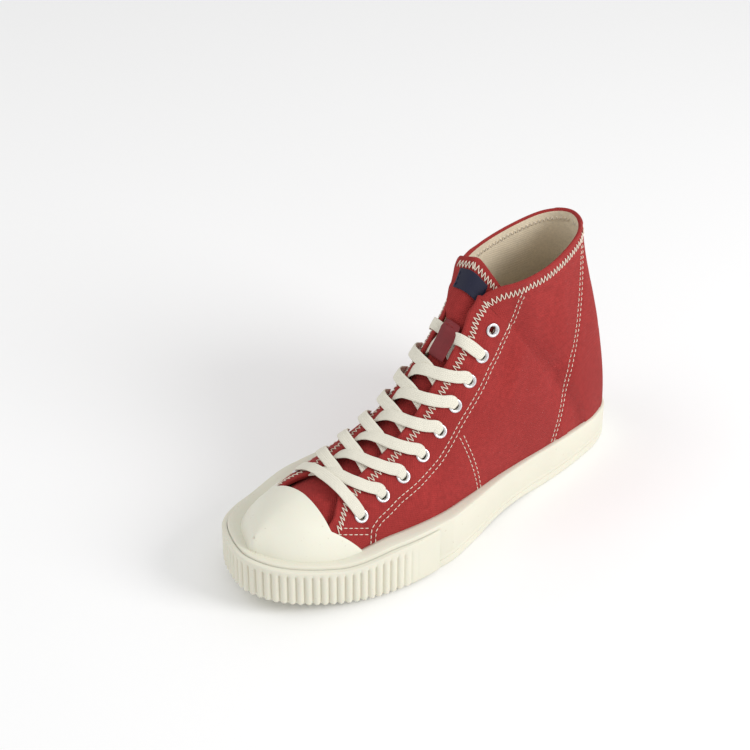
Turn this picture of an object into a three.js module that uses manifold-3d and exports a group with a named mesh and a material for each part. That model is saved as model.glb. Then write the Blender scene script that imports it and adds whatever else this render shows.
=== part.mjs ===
// A canvas high-top sneaker for the left foot, standing empty on its sole.
// Millimetres. X runs from heel to toe, Y to the outer (lateral) side, Z up.
// The tables count X from the back of the heel; the whole shoe is then moved so that the
// origin lies on the floor under the heel.
import * as THREE from 'three';
import { mergeVertices } from 'three/addons/utils/BufferGeometryUtils.js';
import Module from 'manifold-3d';

const wasm = await Module();
wasm.setup();

// Driving sizes of the sole
const SOLE_LENGTH = 300;
const BALL_WIDTH = 108;
const HEEL_WIDTH = 73;
const TOE_SPRING = 12.8;
const ARCH_LIFT = 1.5;
const OUTSOLE_THICKNESS = 6;
const FOXING_THICKNESS = 3.6;
const FOXING_HEEL_HEIGHT = 24;
const FOXING_BALL_HEIGHT = 35;
const FOXING_TOE_HEIGHT = 29;
const BAND_THICKNESS = 3.2;
const BAND_TOP_STEP = 2.6;
const RIB_PITCH = 5;
const RIB_DEPTH = 1.1;
const TREAD_PITCH = 15;
const TREAD_GROOVE = 3;
const TREAD_DEPTH = 1.6;
const TREAD_BORDER = 9;
const TREAD_ZONES = [[0.05, 0.25], [0.54, 0.90]];
const INSOLE_THICKNESS = 4;
const OUTSOLE_CHAMFER = 1;
const FOXING_CHAMFER = 0.8;
const BAND_LIFT = 1.6;

// Driving sizes of the upper
const TOE_BOX_HEIGHT = 60;
const INSTEP_HEIGHT = 99;
const COLLAR_FRONT_HEIGHT = 153;
const COLLAR_BACK_HEIGHT = 166;
const COLLAR_LENGTH = 95;
const COLLAR_WIDTH = 50;
const COLLAR_CENTRE = 75;
const COLLAR_SQUARENESS = 2.1;
const COLLAR_DIP = 3;
const COLLAR_LEAN = 3;
const SOLE_TUCK = 3;
const WALL = 2;
const OVERLAY = 0.8;
const COLLAR_EDGE_WIDTH = 3.2;
const EYESTAY_WIDTH = 27;
const CAP_THICKNESS = 1.7;
const CAP_EDGE = 251.5;
const CAP_SWEEP = 32;
const CAP_TUCK = 5;

// Driving sizes of the throat, tongue and lacing
const THROAT_FRONT_GAP = 26;
const THROAT_LOW_GAP = 13.5;
const THROAT_TOP_GAP = 10.5;
const THROAT_FLARE = 9;
const TONGUE_THICKNESS = 2.4;
const TONGUE_HALF_WIDTH = 27;
const TONGUE_TOP_HALF_WIDTH = 33;
const TONGUE_INNER_REACH = 8;
const TONGUE_INNER_FLARE = 8;
const TONGUE_FLATTENING = 0.016;
const TONGUE_FOLD = 8;
const TONGUE_RISE = 17;
const EYELET_PAIRS = 9;
const LACED_PAIRS = 8;
const EYELET_SETBACK = 17.5;
const EYELET_RADIUS = 4.4;
const EYELET_HOLE = 2.6;
const EYELET_METAL = 0.6;
const EYELET_FLANGE = 0.9;
const LACE_WIDTH = 7.6;
const LACE_THICKNESS = 1.3;
const LACE_ARCH = 2.6;
const KEEPER_WIDTH = 11.5;
const KEEPER_LENGTH = 24;
const KEEPER_SHIFT = 2;
const KEEPER_THICKNESS = 1.4;
const LABEL_WIDTH = 25;
const LABEL_LENGTH = 13;
const LABEL_SHIFT = 3.5;
const LABEL_DROP = 7.5;
const LABEL_THICKNESS = 0.6;
const BADGE_DIAMETER = 50;
const BADGE_THICKNESS = 3;
const BADGE_ALONG = 82;
const BADGE_HEIGHT = 119;

// Clearances
const GAP = 0.3;
const TONGUE_CLEARANCE = 1.7;
const INSOLE_CLEARANCE = 1.3;
const BADGE_CLEARANCE = 1.5;
const OVERCUT = 12;

// How finely the faceted surfaces are drawn
const COLUMNS_PER_ROW = 2;
const HEIGHT_STEPS = 6;
const EYELET_SIDES = 6;
const STRIP_ROWS = 12;
const TONGUE_ROWS = 14;
const TONGUE_COLUMNS = 6;
const HEEL_STRIP_ROWS = 8;
const HEEL_STRIP_COLUMNS = 6;
const SMALL_STRIP_COLUMNS = 4;
const KEEPER_ROWS = 4;
const LABEL_ROWS = 3;
const BADGE_SPOKES = 20;
const ORIGIN_ALONG = 0.11;

// One row for each section, from the toe tip to the heel tip. along, lateral and medial give the
// outline of the sole. crest and rise give where the section's top lies, and wall and shoulder
// how high it climbs from the sole and how far it reaches out from the top. bulge is how far
// the wall swells past the sole's edge.
const B = BALL_WIDTH;
const H = HEEL_WIDTH;
const T = TOE_BOX_HEIGHT;
const N = INSTEP_HEIGHT;
const C = COLLAR_FRONT_HEIGHT;
const SECTIONS = [
  {
    along: 1.002, width: B, lateral: 0.030, medial: -0.030,
    crest: 0.960, rise: 0.78, of: T, wall: 0.36, bulge: 0.00, shoulder: 0.00,
  },
  {
    along: 0.988, width: B, lateral: 0.158, medial: 0.135,
    crest: 0.952, rise: 0.81, of: T, wall: 0.40, bulge: 0.00, shoulder: 0.07,
  },
  {
    along: 0.955, width: B, lateral: 0.262, medial: 0.300,
    crest: 0.928, rise: 0.88, of: T, wall: 0.46, bulge: 0.00, shoulder: 0.14,
  },
  {
    along: 0.900, width: B, lateral: 0.358, medial: 0.405,
    crest: 0.886, rise: 0.96, of: T, wall: 0.50, bulge: 0.00, shoulder: 0.20,
  },
  {
    along: 0.830, width: B, lateral: 0.446, medial: 0.465,
    crest: 0.833, rise: 1.00, of: T, wall: 0.54, bulge: 0.00, shoulder: 0.22,
  },
  {
    along: 0.750, width: B, lateral: 0.506, medial: 0.492,
    crest: 0.777, rise: 1.05, of: T, wall: 0.58, bulge: 0.01, shoulder: 0.22,
  },
  {
    along: 0.670, width: B, lateral: 0.530, medial: 0.478,
    crest: 0.717, rise: 0.69, of: N, wall: 0.60, bulge: 0.02, shoulder: 0.20,
  },
  {
    along: 0.590, width: B, lateral: 0.517, medial: 0.432,
    crest: 0.650, rise: 0.765, of: N, wall: 0.60, bulge: 0.02, shoulder: 0.205,
  },
  {
    along: 0.500, width: B, lateral: 0.463, medial: 0.364,
    crest: 0.590, rise: 0.875, of: N, wall: 0.58, bulge: 0.03, shoulder: 0.22,
  },
  {
    along: 0.410, width: B, lateral: 0.403, medial: 0.318,
    crest: 0.540, rise: 1.02, of: N, wall: 0.56, bulge: 0.04, shoulder: 0.24,
  },
  {
    along: 0.330, width: H, lateral: 0.552, medial: 0.455,
    crest: 0.490, rise: 0.762, of: C, wall: 0.54, bulge: 0.05, shoulder: 0.26,
  },
  {
    along: 0.260, width: H, lateral: 0.537, medial: 0.473,
    crest: 0.447, rise: 0.876, of: C, wall: 0.50, bulge: 0.07, shoulder: 0.26,
  },
  {
    along: 0.200, width: H, lateral: 0.518, medial: 0.490,
    turn: 0, wall: 0.46, bulge: 0.07, shoulder: 0.24,
  },
  {
    along: 0.140, width: H, lateral: 0.484, medial: 0.482,
    turn: 50, wall: 0.42, bulge: 0.09, shoulder: 0.02,
  },
  {
    along: 0.080, width: H, lateral: 0.428, medial: 0.425,
    turn: 90, wall: 0.40, bulge: 0.11, shoulder: 0.02,
  },
  {
    along: 0.028, width: H, lateral: 0.300, medial: 0.300,
    turn: 138, wall: 0.38, bulge: 0.115, shoulder: 0.02,
  },
  {
    along: 0.000, width: H, lateral: 0.000, medial: 0.000,
    turn: 180, wall: 0.36, bulge: 0.11, shoulder: 0.00,
  },
];
const LAST_ROW = SECTIONS.length - 1;
const BAND_FULL_ROW = 5;
const BAND_END_ROW = 6.5;
const BAND_END_SHARE = 0.4;
const COLLAR_ROW = SECTIONS.findIndex((row) => row.turn === 0);
const CREST_Y = 0.028 * BALL_WIDTH;
const COLLAR_HANG = 0.24 * COLLAR_BACK_HEIGHT;
const TOE_TIP_REACH = 0.075 * TOE_BOX_HEIGHT;
const TOE_TIP_FALL = 0.0667 * TOE_BOX_HEIGHT;

// The height of the sidewall above the sole's own curve
const FOXING_HEIGHTS = [
  { along: 0.00, height: FOXING_HEEL_HEIGHT },
  { along: 0.30, height: 0.6 * FOXING_HEEL_HEIGHT + 0.4 * FOXING_BALL_HEIGHT },
  { along: 0.64, height: FOXING_BALL_HEIGHT },
  { along: 0.72, height: FOXING_BALL_HEIGHT },
  { along: 0.86, height: FOXING_TOE_HEIGHT },
  { along: 1.01, height: FOXING_TOE_HEIGHT },
];

// Small helpers

function mix(a, b, share) {
  return a + (b - a) * share;
}

function ease(low, high, value) {
  const share = THREE.MathUtils.clamp((value - low) / (high - low), 0, 1);
  return share * share * (3 - 2 * share);
}

function signedPower(value, exponent) {
  return Math.sign(value) * Math.abs(value) ** exponent;
}

function toeSpring(x) {
  const share = THREE.MathUtils.clamp((x / SOLE_LENGTH - 0.72) / 0.28, 0, 1);
  return TOE_SPRING * share * share;
}

function archLift(x) {
  const share = x / SOLE_LENGTH;
  return ARCH_LIFT * ease(0.28, 0.36, share) * (1 - ease(0.44, 0.52, share));
}

function outsoleTop(x) {
  return toeSpring(x) + OUTSOLE_THICKNESS;
}

function foxingTop(x) {
  const share = THREE.MathUtils.clamp(x / SOLE_LENGTH, 0, 1);
  const next = FOXING_HEIGHTS.findIndex((row) => row.along > share);
  const [low, high] = [FOXING_HEIGHTS[next - 1], FOXING_HEIGHTS[next]];
  return toeSpring(x) + mix(low.height, high.height, ease(low.along, high.along, share));
}

// The outline of the sole, a closed curve through the table's rows

const outlineCurve = new THREE.CatmullRomCurve3(
  [
    ...SECTIONS.map((row) => new THREE.Vector3(row.along * SOLE_LENGTH, row.lateral * row.width, 0)),
    ...SECTIONS.slice(1, LAST_ROW).reverse()
      .map((row) => new THREE.Vector3(row.along * SOLE_LENGTH, -row.medial * row.width, 0)),
  ],
  true, 'catmullrom', 0.5,
);
const OUTLINE_ROWS = 2 * LAST_ROW;

// A point of the outline beside row k of one side, moved inwards
function outlineAt(side, k, inset) {
  const share = (side > 0 ? k : OUTLINE_ROWS - k) / OUTLINE_ROWS;
  const wrapped = ((share % 1) + 1) % 1;
  const point = outlineCurve.getPoint(wrapped);
  const step = 0.002;
  const ahead = outlineCurve.getPoint((wrapped + step) % 1);
  const behind = outlineCurve.getPoint((wrapped - step + 1) % 1);
  const along = ahead.sub(behind).normalize();
  return new THREE.Vector3(point.x - along.y * inset, point.y + along.x * inset, 0);
}

// How far the rubber behind the toe band is set in, fading out beyond the ball
function bandShare(k) {
  if (k <= BAND_END_ROW) {
    return mix(1, BAND_END_SHARE, Math.max(k - BAND_FULL_ROW, 0) / (BAND_END_ROW - BAND_FULL_ROW));
  }
  return BAND_END_SHARE * Math.max(1 - COLUMNS_PER_ROW * (k - BAND_END_ROW), 0);
}

// The ribs fade out before the band ends
function ribShare(k) {
  return 1 - ease(BAND_FULL_ROW, BAND_END_ROW - 0.6, k);
}

function sideInset(k) {
  return (BAND_THICKNESS + GAP) * bandShare(k);
}

// The surface of the upper. Row k runs from the toe (0) to the heel (LAST_ROW) and t from the
// sole (0) to the crest of the foot or the collar (1).

function collarPoint(turn, side) {
  const angle = THREE.MathUtils.degToRad(turn);
  const forward = signedPower(Math.cos(angle), 2 / COLLAR_SQUARENESS);
  const across = signedPower(Math.sin(angle), 2 / COLLAR_SQUARENESS);
  const middle = (COLLAR_FRONT_HEIGHT + COLLAR_BACK_HEIGHT) / 2 - COLLAR_DIP;
  const slope = (COLLAR_FRONT_HEIGHT - COLLAR_BACK_HEIGHT) / 2;
  return new THREE.Vector3(
    COLLAR_CENTRE + (COLLAR_LENGTH / 2) * forward,
    side * (COLLAR_WIDTH / 2) * across + CREST_Y * ease(-1, 1, forward) * 0.5,
    middle + slope * forward + COLLAR_DIP * forward * forward,
  );
}

function controlPoints(side, row, k) {
  const inset = FOXING_THICKNESS + sideInset(k);
  const foot = outlineAt(side, k, inset);
  foot.z = outsoleTop(foot.x) - SOLE_TUCK;
  const isCollar = row.turn !== undefined;
  const top = isCollar
    ? collarPoint(row.turn, side)
    : new THREE.Vector3(row.crest * SOLE_LENGTH, CREST_Y, row.rise * row.of);
  const wall = outlineAt(side, k, inset - row.bulge * HEEL_WIDTH);
  wall.z = mix(foot.z, top.z, row.wall);
  wall.x = mix(wall.x, top.x, 0.06);
  const shoulder = top.clone();
  const angle = THREE.MathUtils.degToRad(isCollar ? row.turn : 0);
  if (isCollar && row.turn > 0) {
    shoulder.x += Math.cos(angle) * row.shoulder * BALL_WIDTH - COLLAR_LEAN;
    shoulder.y += side * Math.sin(angle) * row.shoulder * BALL_WIDTH;
    shoulder.z -= COLLAR_HANG;
  } else {
    const fall = isCollar ? 0.04 : 0.02;
    shoulder.lerp(new THREE.Vector3(foot.x, top.y, foot.z), fall);
    shoulder.y = top.y + side * row.shoulder * BALL_WIDTH;
  }
  if (k === 0) {
    shoulder.set(top.x + TOE_TIP_REACH, top.y, top.z - TOE_TIP_FALL);
  }
  return [foot, wall, shoulder, top];
}

// A curve through one column of control points. At its two ends it runs on into the other side,
// so that the toe, the heel and the collar are smooth where the sides meet.
function throughRows(points, others) {
  const last = points.length - 1;
  const curve = new THREE.CatmullRomCurve3(
    [others[1], ...points, others[last - 1]], false, 'catmullrom', 0.5,
  );
  return (place) => curve.getPoint((THREE.MathUtils.clamp(place, 0, last) + 1) / (last + 2));
}

// The top runs along the crest up to the collar row, and from there around the collar
function controlCurves(side) {
  const own = SECTIONS.map((row, k) => controlPoints(side, row, k));
  const other = SECTIONS.map((row, k) => controlPoints(-side, row, k));
  const column = (rows, place) => rows.map((points) => points[place]);
  const lower = [0, 1, 2].map((place) => throughRows(column(own, place), column(other, place)));
  const crestLine = column(own, 3).slice(0, COLLAR_ROW + 1);
  const crest = new THREE.CatmullRomCurve3(crestLine, false, 'catmullrom', 0.5);
  const collar = throughRows(column(own, 3).slice(COLLAR_ROW), column(other, 3).slice(COLLAR_ROW));
  return { lower, crest, collar };
}

function topAt(side, k) {
  const { crest, collar } = CONTROLS[side];
  if (k <= COLLAR_ROW) return crest.getPoint(k / COLLAR_ROW);
  return collar(k - COLLAR_ROW);
}

const CONTROLS = { 1: controlCurves(1), '-1': controlCurves(-1) };

function surface(side, k, t) {
  const [a, b, c] = CONTROLS[side].lower.map((curve) => curve(k));
  const d = topAt(side, k);
  const s = 1 - t;
  return a.multiplyScalar(s * s * s)
    .addScaledVector(b, 3 * s * s * t)
    .addScaledVector(c, 3 * s * t * t)
    .addScaledVector(d, t * t * t);
}

function sideNormal(side, k, t) {
  const step = 0.01;
  const alongRow = surface(side, Math.min(k + step * 4, LAST_ROW), t)
    .sub(surface(side, Math.max(k - step * 4, 0), t));
  const upRow = surface(side, k, Math.min(t + step, 1)).sub(surface(side, k, Math.max(t - step, 0)));
  return alongRow.cross(upRow).multiplyScalar(side).normalize();
}

// The outward direction, shared by both sides where they meet
function outward(side, k, t) {
  const onCrest = t >= 1 && k <= COLLAR_ROW;
  const row = onCrest ? Math.max(k, 0.3) : k;
  const normal = sideNormal(side, row, t);
  const onSeam = onCrest || k <= 0 || k >= LAST_ROW;
  return onSeam ? normal.add(sideNormal(-side, row, t)).normalize() : normal;
}

function skin(side, k, t, offset) {
  return surface(side, k, t).addScaledVector(outward(side, k, t), offset);
}

// The place t on row k that lies a given distance along the surface from the top
function fromTop(side, k, distance) {
  const steps = 60;
  let travelled = 0;
  let last = surface(side, k, 1);
  for (let i = 1; i <= steps; i += 1) {
    const t = 1 - i / steps;
    const point = surface(side, k, t);
    const piece = point.distanceTo(last);
    if (travelled + piece >= distance) {
      return t + (1 / steps) * ((travelled + piece - distance) / piece);
    }
    travelled += piece;
    last = point;
  }
  return 0;
}

// The row k where the crest or the sole reaches a given x
function rowWhere(x, read) {
  let low = 0;
  let high = COLLAR_ROW;
  for (let i = 0; i < 40; i += 1) {
    const middle = (low + high) / 2;
    if (read(middle) > x) low = middle;
    else high = middle;
  }
  return (low + high) / 2;
}

// Solids from lists of corner points

function solidFrom(triangles) {
  const positions = new Float32Array(triangles.flatMap((p) => [p.x, p.y, p.z]));
  const geometry = new THREE.BufferGeometry();
  geometry.setAttribute('position', new THREE.BufferAttribute(positions, 3));
  return solidFromGeometry(geometry);
}

function solidFromGeometry(source) {
  const bare = source.clone();
  bare.deleteAttribute('normal');
  bare.deleteAttribute('uv');
  const merged = mergeVertices(bare, 1e-4);
  const kept = [];
  const index = merged.index.array;
  for (let i = 0; i < index.length; i += 3) {
    const [a, b, c] = [index[i], index[i + 1], index[i + 2]];
    if (a !== b && b !== c && c !== a) kept.push(a, b, c);
  }
  const mesh = new wasm.Mesh({
    numProp: 3,
    vertProperties: merged.attributes.position.array,
    triVerts: new Uint32Array(kept),
  });
  mesh.merge();
  return new wasm.Manifold(mesh);
}

function quad(list, a, b, c, d) {
  list.push(a, b, c, a, c, d);
}

// A closed solid through equal rings of points, capped by rungs from one side to the other.
// Each ring starts at one tip and its two halves have equally many points.
function loft(rings) {
  const list = [];
  const count = rings[0].length;
  for (let level = 0; level + 1 < rings.length; level += 1) {
    const low = rings[level];
    const high = rings[level + 1];
    for (let i = 0; i < count; i += 1) {
      const j = (i + 1) % count;
      quad(list, low[i], low[j], high[j], high[i]);
    }
  }
  const bottom = rings[0];
  const top = rings[rings.length - 1];
  for (let i = 0; i < count / 2; i += 1) {
    const far = (count - i) % count;
    const nextFar = count - i - 1;
    quad(list, bottom[i], bottom[far], bottom[nextFar], bottom[i + 1]);
    quad(list, top[i + 1], top[nextFar], top[far], top[i]);
  }
  return solidFrom(list);
}

// A closed solid between two equal grids of points, the outer one first
function slab(outer, inner) {
  const list = [];
  const rows = outer.length - 1;
  const columns = outer[0].length - 1;
  for (let i = 0; i < rows; i += 1) {
    for (let j = 0; j < columns; j += 1) {
      quad(list, outer[i][j], outer[i + 1][j], outer[i + 1][j + 1], outer[i][j + 1]);
      quad(list, inner[i][j], inner[i][j + 1], inner[i + 1][j + 1], inner[i + 1][j]);
    }
    quad(list, outer[i][0], inner[i][0], inner[i + 1][0], outer[i + 1][0]);
    quad(list, outer[i + 1][columns], inner[i + 1][columns], inner[i][columns], outer[i][columns]);
  }
  for (let j = 0; j < columns; j += 1) {
    quad(list, outer[0][j], outer[0][j + 1], inner[0][j + 1], inner[0][j]);
    quad(list, outer[rows][j + 1], outer[rows][j], inner[rows][j], inner[rows][j + 1]);
  }
  const solid = solidFrom(list);
  return solid.volume() < 0 ? solidFrom(list.reverse()) : solid;
}

// A patch that follows the upper. place(i, j) gives side, k and t for each grid point.
function patch(rows, columns, place, innerOffset, outerOffset) {
  const grid = (offset) => Array.from({ length: rows + 1 }, (_, i) => (
    Array.from({ length: columns + 1 }, (__, j) => {
      const at = place(i / rows, j / columns);
      return skin(at.side, at.k, at.t, offset).add(at.shift ?? new THREE.Vector3());
    })));
  return slab(grid(outerOffset), grid(innerOffset));
}

// The sole's outline as a ring at a height that may change along the shoe
function outlineRing(insetAt, heightAt) {
  const points = [];
  const count = OUTLINE_ROWS * COLUMNS_PER_ROW;
  for (let i = 0; i < count; i += 1) {
    const place = i / COLUMNS_PER_ROW;
    const side = place <= LAST_ROW ? 1 : -1;
    const k = side > 0 ? place : OUTLINE_ROWS - place;
    const point = outlineAt(side, k, insetAt(k));
    point.z = heightAt(point.x);
    points.push(point);
  }
  return points;
}

// The whole form of the upper as one closed body, moved outwards by an offset. The rise carries
// its top straight up past the collar, for the form that hollows the upper out.
function upperForm(offset, rise) {
  const columns = LAST_ROW * COLUMNS_PER_ROW;
  const collarColumn = COLLAR_ROW * COLUMNS_PER_ROW;
  const grid = (side) => Array.from({ length: columns + 1 }, (_, i) => {
    const k = i / COLUMNS_PER_ROW;
    const points = Array.from({ length: HEIGHT_STEPS + 1 }, (__, j) => (
      skin(side, k, j / HEIGHT_STEPS, offset)));
    const top = points[HEIGHT_STEPS].clone();
    if (i > collarColumn) top.z += rise;
    points.push(top);
    return points;
  });
  const left = grid(1);
  const right = grid(-1);
  const last = HEIGHT_STEPS + 1;
  const list = [];
  for (let i = 0; i < columns; i += 1) {
    for (let j = 0; j < last; j += 1) {
      quad(list, left[i][j], left[i + 1][j], left[i + 1][j + 1], left[i][j + 1]);
      quad(list, right[i + 1][j], right[i][j], right[i][j + 1], right[i + 1][j + 1]);
    }
    quad(list, left[i + 1][0], left[i][0], right[i][0], right[i + 1][0]);
    if (i >= collarColumn) {
      quad(list, left[i][last], left[i + 1][last], right[i + 1][last], right[i][last]);
    }
  }
  return solidFrom(list);
}

// A block under a surface over the whole plan of the shoe
function blockBelow(heightAt) {
  const wide = () => -OVERCUT;
  return loft([outlineRing(wide, () => -OVERCUT), outlineRing(wide, heightAt)]);
}

function prism(points, low, high) {
  const shape = new THREE.Shape(points.map(([x, y]) => new THREE.Vector2(x, y)));
  const geometry = new THREE.ExtrudeGeometry(shape, { depth: high - low, bevelEnabled: false });
  geometry.translate(0, 0, low);
  return solidFromGeometry(geometry);
}

// Places on the throat

function crestX(k) {
  return surface(1, k, 1).x;
}

function throatHalfGap(k) {
  const front = rowWhere(CAP_EDGE, crestX);
  const low = front + 1.6;
  const widening = 1 - ease(front, low, k);
  const along = THREE.MathUtils.clamp((k - low) / (COLLAR_ROW - low), 0, 1);
  const gap = mix(mix(THROAT_LOW_GAP, THROAT_TOP_GAP, along), THROAT_FRONT_GAP, widening * widening);
  const flare = ease(COLLAR_ROW - 0.7, COLLAR_ROW, k);
  return gap + THROAT_FLARE * flare * flare;
}

// The tongue and throat run on above the collar: past the collar row the crest is carried
// along its own direction
const RISING = surface(1, COLLAR_ROW, 1).sub(surface(1, COLLAR_ROW - 0.5, 1)).multiplyScalar(2);
const RISE_PER_ROW = RISING.length();

function crestPlace(k, side, distance, lift) {
  const kept = Math.min(k, COLLAR_ROW);
  const t = fromTop(side, kept, distance);
  const shift = outward(side, kept, t).multiplyScalar(lift).addScaledVector(RISING, k - kept);
  return { side, k: kept, t, shift };
}
const TONGUE_FACE = -WALL - TONGUE_CLEARANCE;

// A strip that lies across the crest, reaching a given distance down on each side
function crestStrip(from, to, rows, columns, reachAt, innerOffset, outerOffset, liftAt = () => 0) {
  return patch(rows, columns, (i, j) => {
    const k = mix(from, to, i);
    const across = 2 * j - 1;
    const side = across <= 0 ? 1 : -1;
    const distance = Math.abs(across) * reachAt(k, side);
    return crestPlace(k, side, distance, liftAt(k, side * distance));
  }, innerOffset, outerOffset);
}

const FRONT_ROW = rowWhere(CAP_EDGE, crestX);
const capZone = (grow) => prism([
  [CAP_EDGE - grow, CREST_Y - THROAT_FRONT_GAP],
  [CAP_EDGE - grow, CREST_Y + THROAT_FRONT_GAP],
  [CAP_EDGE - CAP_SWEEP - grow, CREST_Y + BALL_WIDTH / 2],
  [CAP_EDGE - CAP_SWEEP - grow, BALL_WIDTH],
  [SOLE_LENGTH + OVERCUT, BALL_WIDTH],
  [SOLE_LENGTH + OVERCUT, -BALL_WIDTH],
  [CAP_EDGE - CAP_SWEEP - grow, -BALL_WIDTH],
  [CAP_EDGE - CAP_SWEEP - grow, CREST_Y - BALL_WIDTH / 2],
], -OVERCUT, COLLAR_BACK_HEIGHT);

// Pieces

function makeOutsole() {
  const under = (x) => toeSpring(x) + archLift(x);
  let sole = loft([
    outlineRing((k) => sideInset(k) + OUTSOLE_CHAMFER, under),
    outlineRing(sideInset, (x) => under(x) + OUTSOLE_CHAMFER),
    outlineRing(sideInset, outsoleTop),
  ]);
  for (const [from, to] of TREAD_ZONES) {
    for (let x = from * SOLE_LENGTH; x <= to * SOLE_LENGTH; x += TREAD_PITCH) {
      sole = sole.subtract(treadGroove(x));
    }
  }
  return sole;
}

function treadGroove(x) {
  const lateral = widthAt(1, x) - TREAD_BORDER;
  const medial = widthAt(-1, x) + TREAD_BORDER;
  const depth = TREAD_DEPTH + OVERCUT;
  const geometry = new THREE.BoxGeometry(TREAD_GROOVE, lateral - medial, depth);
  geometry.translate(x, (lateral + medial) / 2, toeSpring(x) + TREAD_DEPTH - depth / 2);
  return solidFromGeometry(geometry);
}

function widthAt(side, x) {
  let low = 0;
  let high = LAST_ROW;
  for (let i = 0; i < 40; i += 1) {
    const middle = (low + high) / 2;
    if (outlineAt(side, middle, 0).x > x) low = middle;
    else high = middle;
  }
  return outlineAt(side, low, 0).y;
}

function makeFoxing() {
  const base = (x) => outsoleTop(x) + GAP;
  return loft([
    outlineRing(sideInset, base),
    outlineRing(sideInset, (x) => foxingTop(x) - FOXING_CHAMFER),
    outlineRing((k) => sideInset(k) + FOXING_CHAMFER, foxingTop),
  ])
    .subtract(upperForm(GAP, 0))
    .subtract(upperForm(CAP_THICKNESS + GAP, 0).intersect(capZone(GAP)).subtract(
      blockBelow((x) => foxingTop(x) - CAP_TUCK - GAP)));
}

function makeBand() {
  const startRow = BAND_END_ROW;
  const samples = [];
  const steps = 400;
  let travelled = 0;
  let last = outlineAt(1, startRow, 0);
  const track = [];
  for (let i = 0; i <= steps; i += 1) {
    const place = startRow - (2 * startRow * i) / steps;
    const point = outlineAt(place >= 0 ? 1 : -1, Math.abs(place), 0);
    travelled += point.distanceTo(last);
    track.push({ place, travelled });
    last = point;
  }
  const ribs = Math.round(travelled / RIB_PITCH);
  for (let rib = 0; rib < ribs; rib += 1) {
    samples.push({ distance: (rib / ribs) * travelled, depth: 1 });
    samples.push({ distance: ((rib + 0.5) / ribs) * travelled, depth: 0 });
  }
  samples.push({ distance: travelled, depth: 1 });
  const rowAt = (distance) => {
    const next = Math.max(1, track.findIndex((entry) => entry.travelled >= distance - 1e-6));
    const a = track[next - 1];
    const b = track[next];
    return mix(a.place, b.place, (distance - a.travelled) / (b.travelled - a.travelled));
  };
  const outer = [];
  const inner = [];
  for (const sample of samples) {
    const place = rowAt(sample.distance);
    const side = place >= 0 ? 1 : -1;
    const k = Math.abs(place);
    const ribDepth = RIB_DEPTH * sample.depth * ribShare(k);
    const face = outlineAt(side, k, ribDepth);
    const back = outlineAt(side, k, sideInset(k) - GAP);
    const low = toeSpring(face.x) + BAND_LIFT;
    const high = foxingTop(face.x) - BAND_TOP_STEP;
    const topFace = outlineAt(side, k, 0.2 * RIB_DEPTH);
    const at = (point, z) => new THREE.Vector3(point.x, point.y, z);
    outer.push([at(face, low), at(topFace, high)]);
    inner.push([at(back, low), at(back, high)]);
  }
  return slab(outer, inner);
}

function makeUpper() {
  const hidden = blockBelow((x) => foxingTop(x) + GAP).add(capZone(4 * GAP));
  const overlays = eyestay(1).add(eyestay(-1)).add(heelStrip()).add(collarEdge());
  let shell = upperForm(0, 0).add(overlays.subtract(hidden));
  shell = shell.subtract(upperForm(-WALL, OVERCUT));
  const deep = 3 * WALL;
  const front = FRONT_ROW - 0.06;
  const throat = crestStrip(front, COLLAR_ROW + 1, STRIP_ROWS, 2, throatHalfGap, -2 * deep, 2 * deep);
  shell = shell.subtract(throat);
  shell = shell.subtract(blockBelow((x) => outsoleTop(x) + GAP));
  for (const place of eyeletPlaces()) {
    shell = shell.subtract(eyeletCut(place));
  }
  return shell;
}

function eyestay(side) {
  return patch(STRIP_ROWS, 1, (i, j) => {
    const k = mix(FRONT_ROW + 0.35, COLLAR_ROW, i);
    const near = throatHalfGap(k) - 2;
    const width = EYESTAY_WIDTH * mix(0.62, 1, ease(0, 0.2, i));
    return { side, k, t: fromTop(side, k, near + j * (width + 2)) };
  }, -WALL / 2, OVERLAY);
}

// The seam in front of the heel strip leans forward from the back of the ankle to the rubber
const HEEL_SEAM = [
  { share: 0.05, row: 11.17 },
  { share: 0.12, row: 11.66 },
  { share: 0.24, row: 12.53 },
  { share: 0.36, row: 13.30 },
  { share: 0.50, row: 14.02 },
  { share: 0.70, row: 14.65 },
  { share: 1.00, row: 15.38 },
];

function heelSeamRow(t) {
  const next = Math.max(HEEL_SEAM.findIndex((place) => place.share >= t), 1);
  const [low, high] = [HEEL_SEAM[next - 1], HEEL_SEAM[next]];
  return mix(low.row, high.row, (t - low.share) / (high.share - low.share));
}

function heelStrip() {
  return patch(HEEL_STRIP_ROWS, HEEL_STRIP_COLUMNS, (i, j) => {
    const t = mix(0.1, 1, i);
    const side = j <= 0.5 ? 1 : -1;
    return { side, k: mix(LAST_ROW, heelSeamRow(t), Math.abs(2 * j - 1)), t };
  }, -1.5 * WALL, OVERLAY);
}

function collarEdge() {
  return patch(STRIP_ROWS, 1, (i, j) => {
    const side = i <= 0.5 ? 1 : -1;
    const k = mix(LAST_ROW, COLLAR_ROW, Math.abs(2 * i - 1));
    return { side, k, t: j === 1 ? 1 : fromTop(side, k, COLLAR_EDGE_WIDTH) };
  }, -WALL / 2, 1.6 * OVERLAY);
}

function makeToeCap() {
  const seat = blockBelow((x) => foxingTop(x) - CAP_TUCK);
  return upperForm(CAP_THICKNESS, 0).subtract(upperForm(GAP, 0)).intersect(capZone(0)).subtract(seat);
}

function makeInsole() {
  const low = (x) => outsoleTop(x) + GAP;
  const inset = (k) => sideInset(k) + FOXING_THICKNESS + WALL + INSOLE_CLEARANCE;
  return loft([
    outlineRing(inset, low),
    outlineRing(inset, (x) => low(x) + INSOLE_THICKNESS),
  ]);
}

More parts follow.
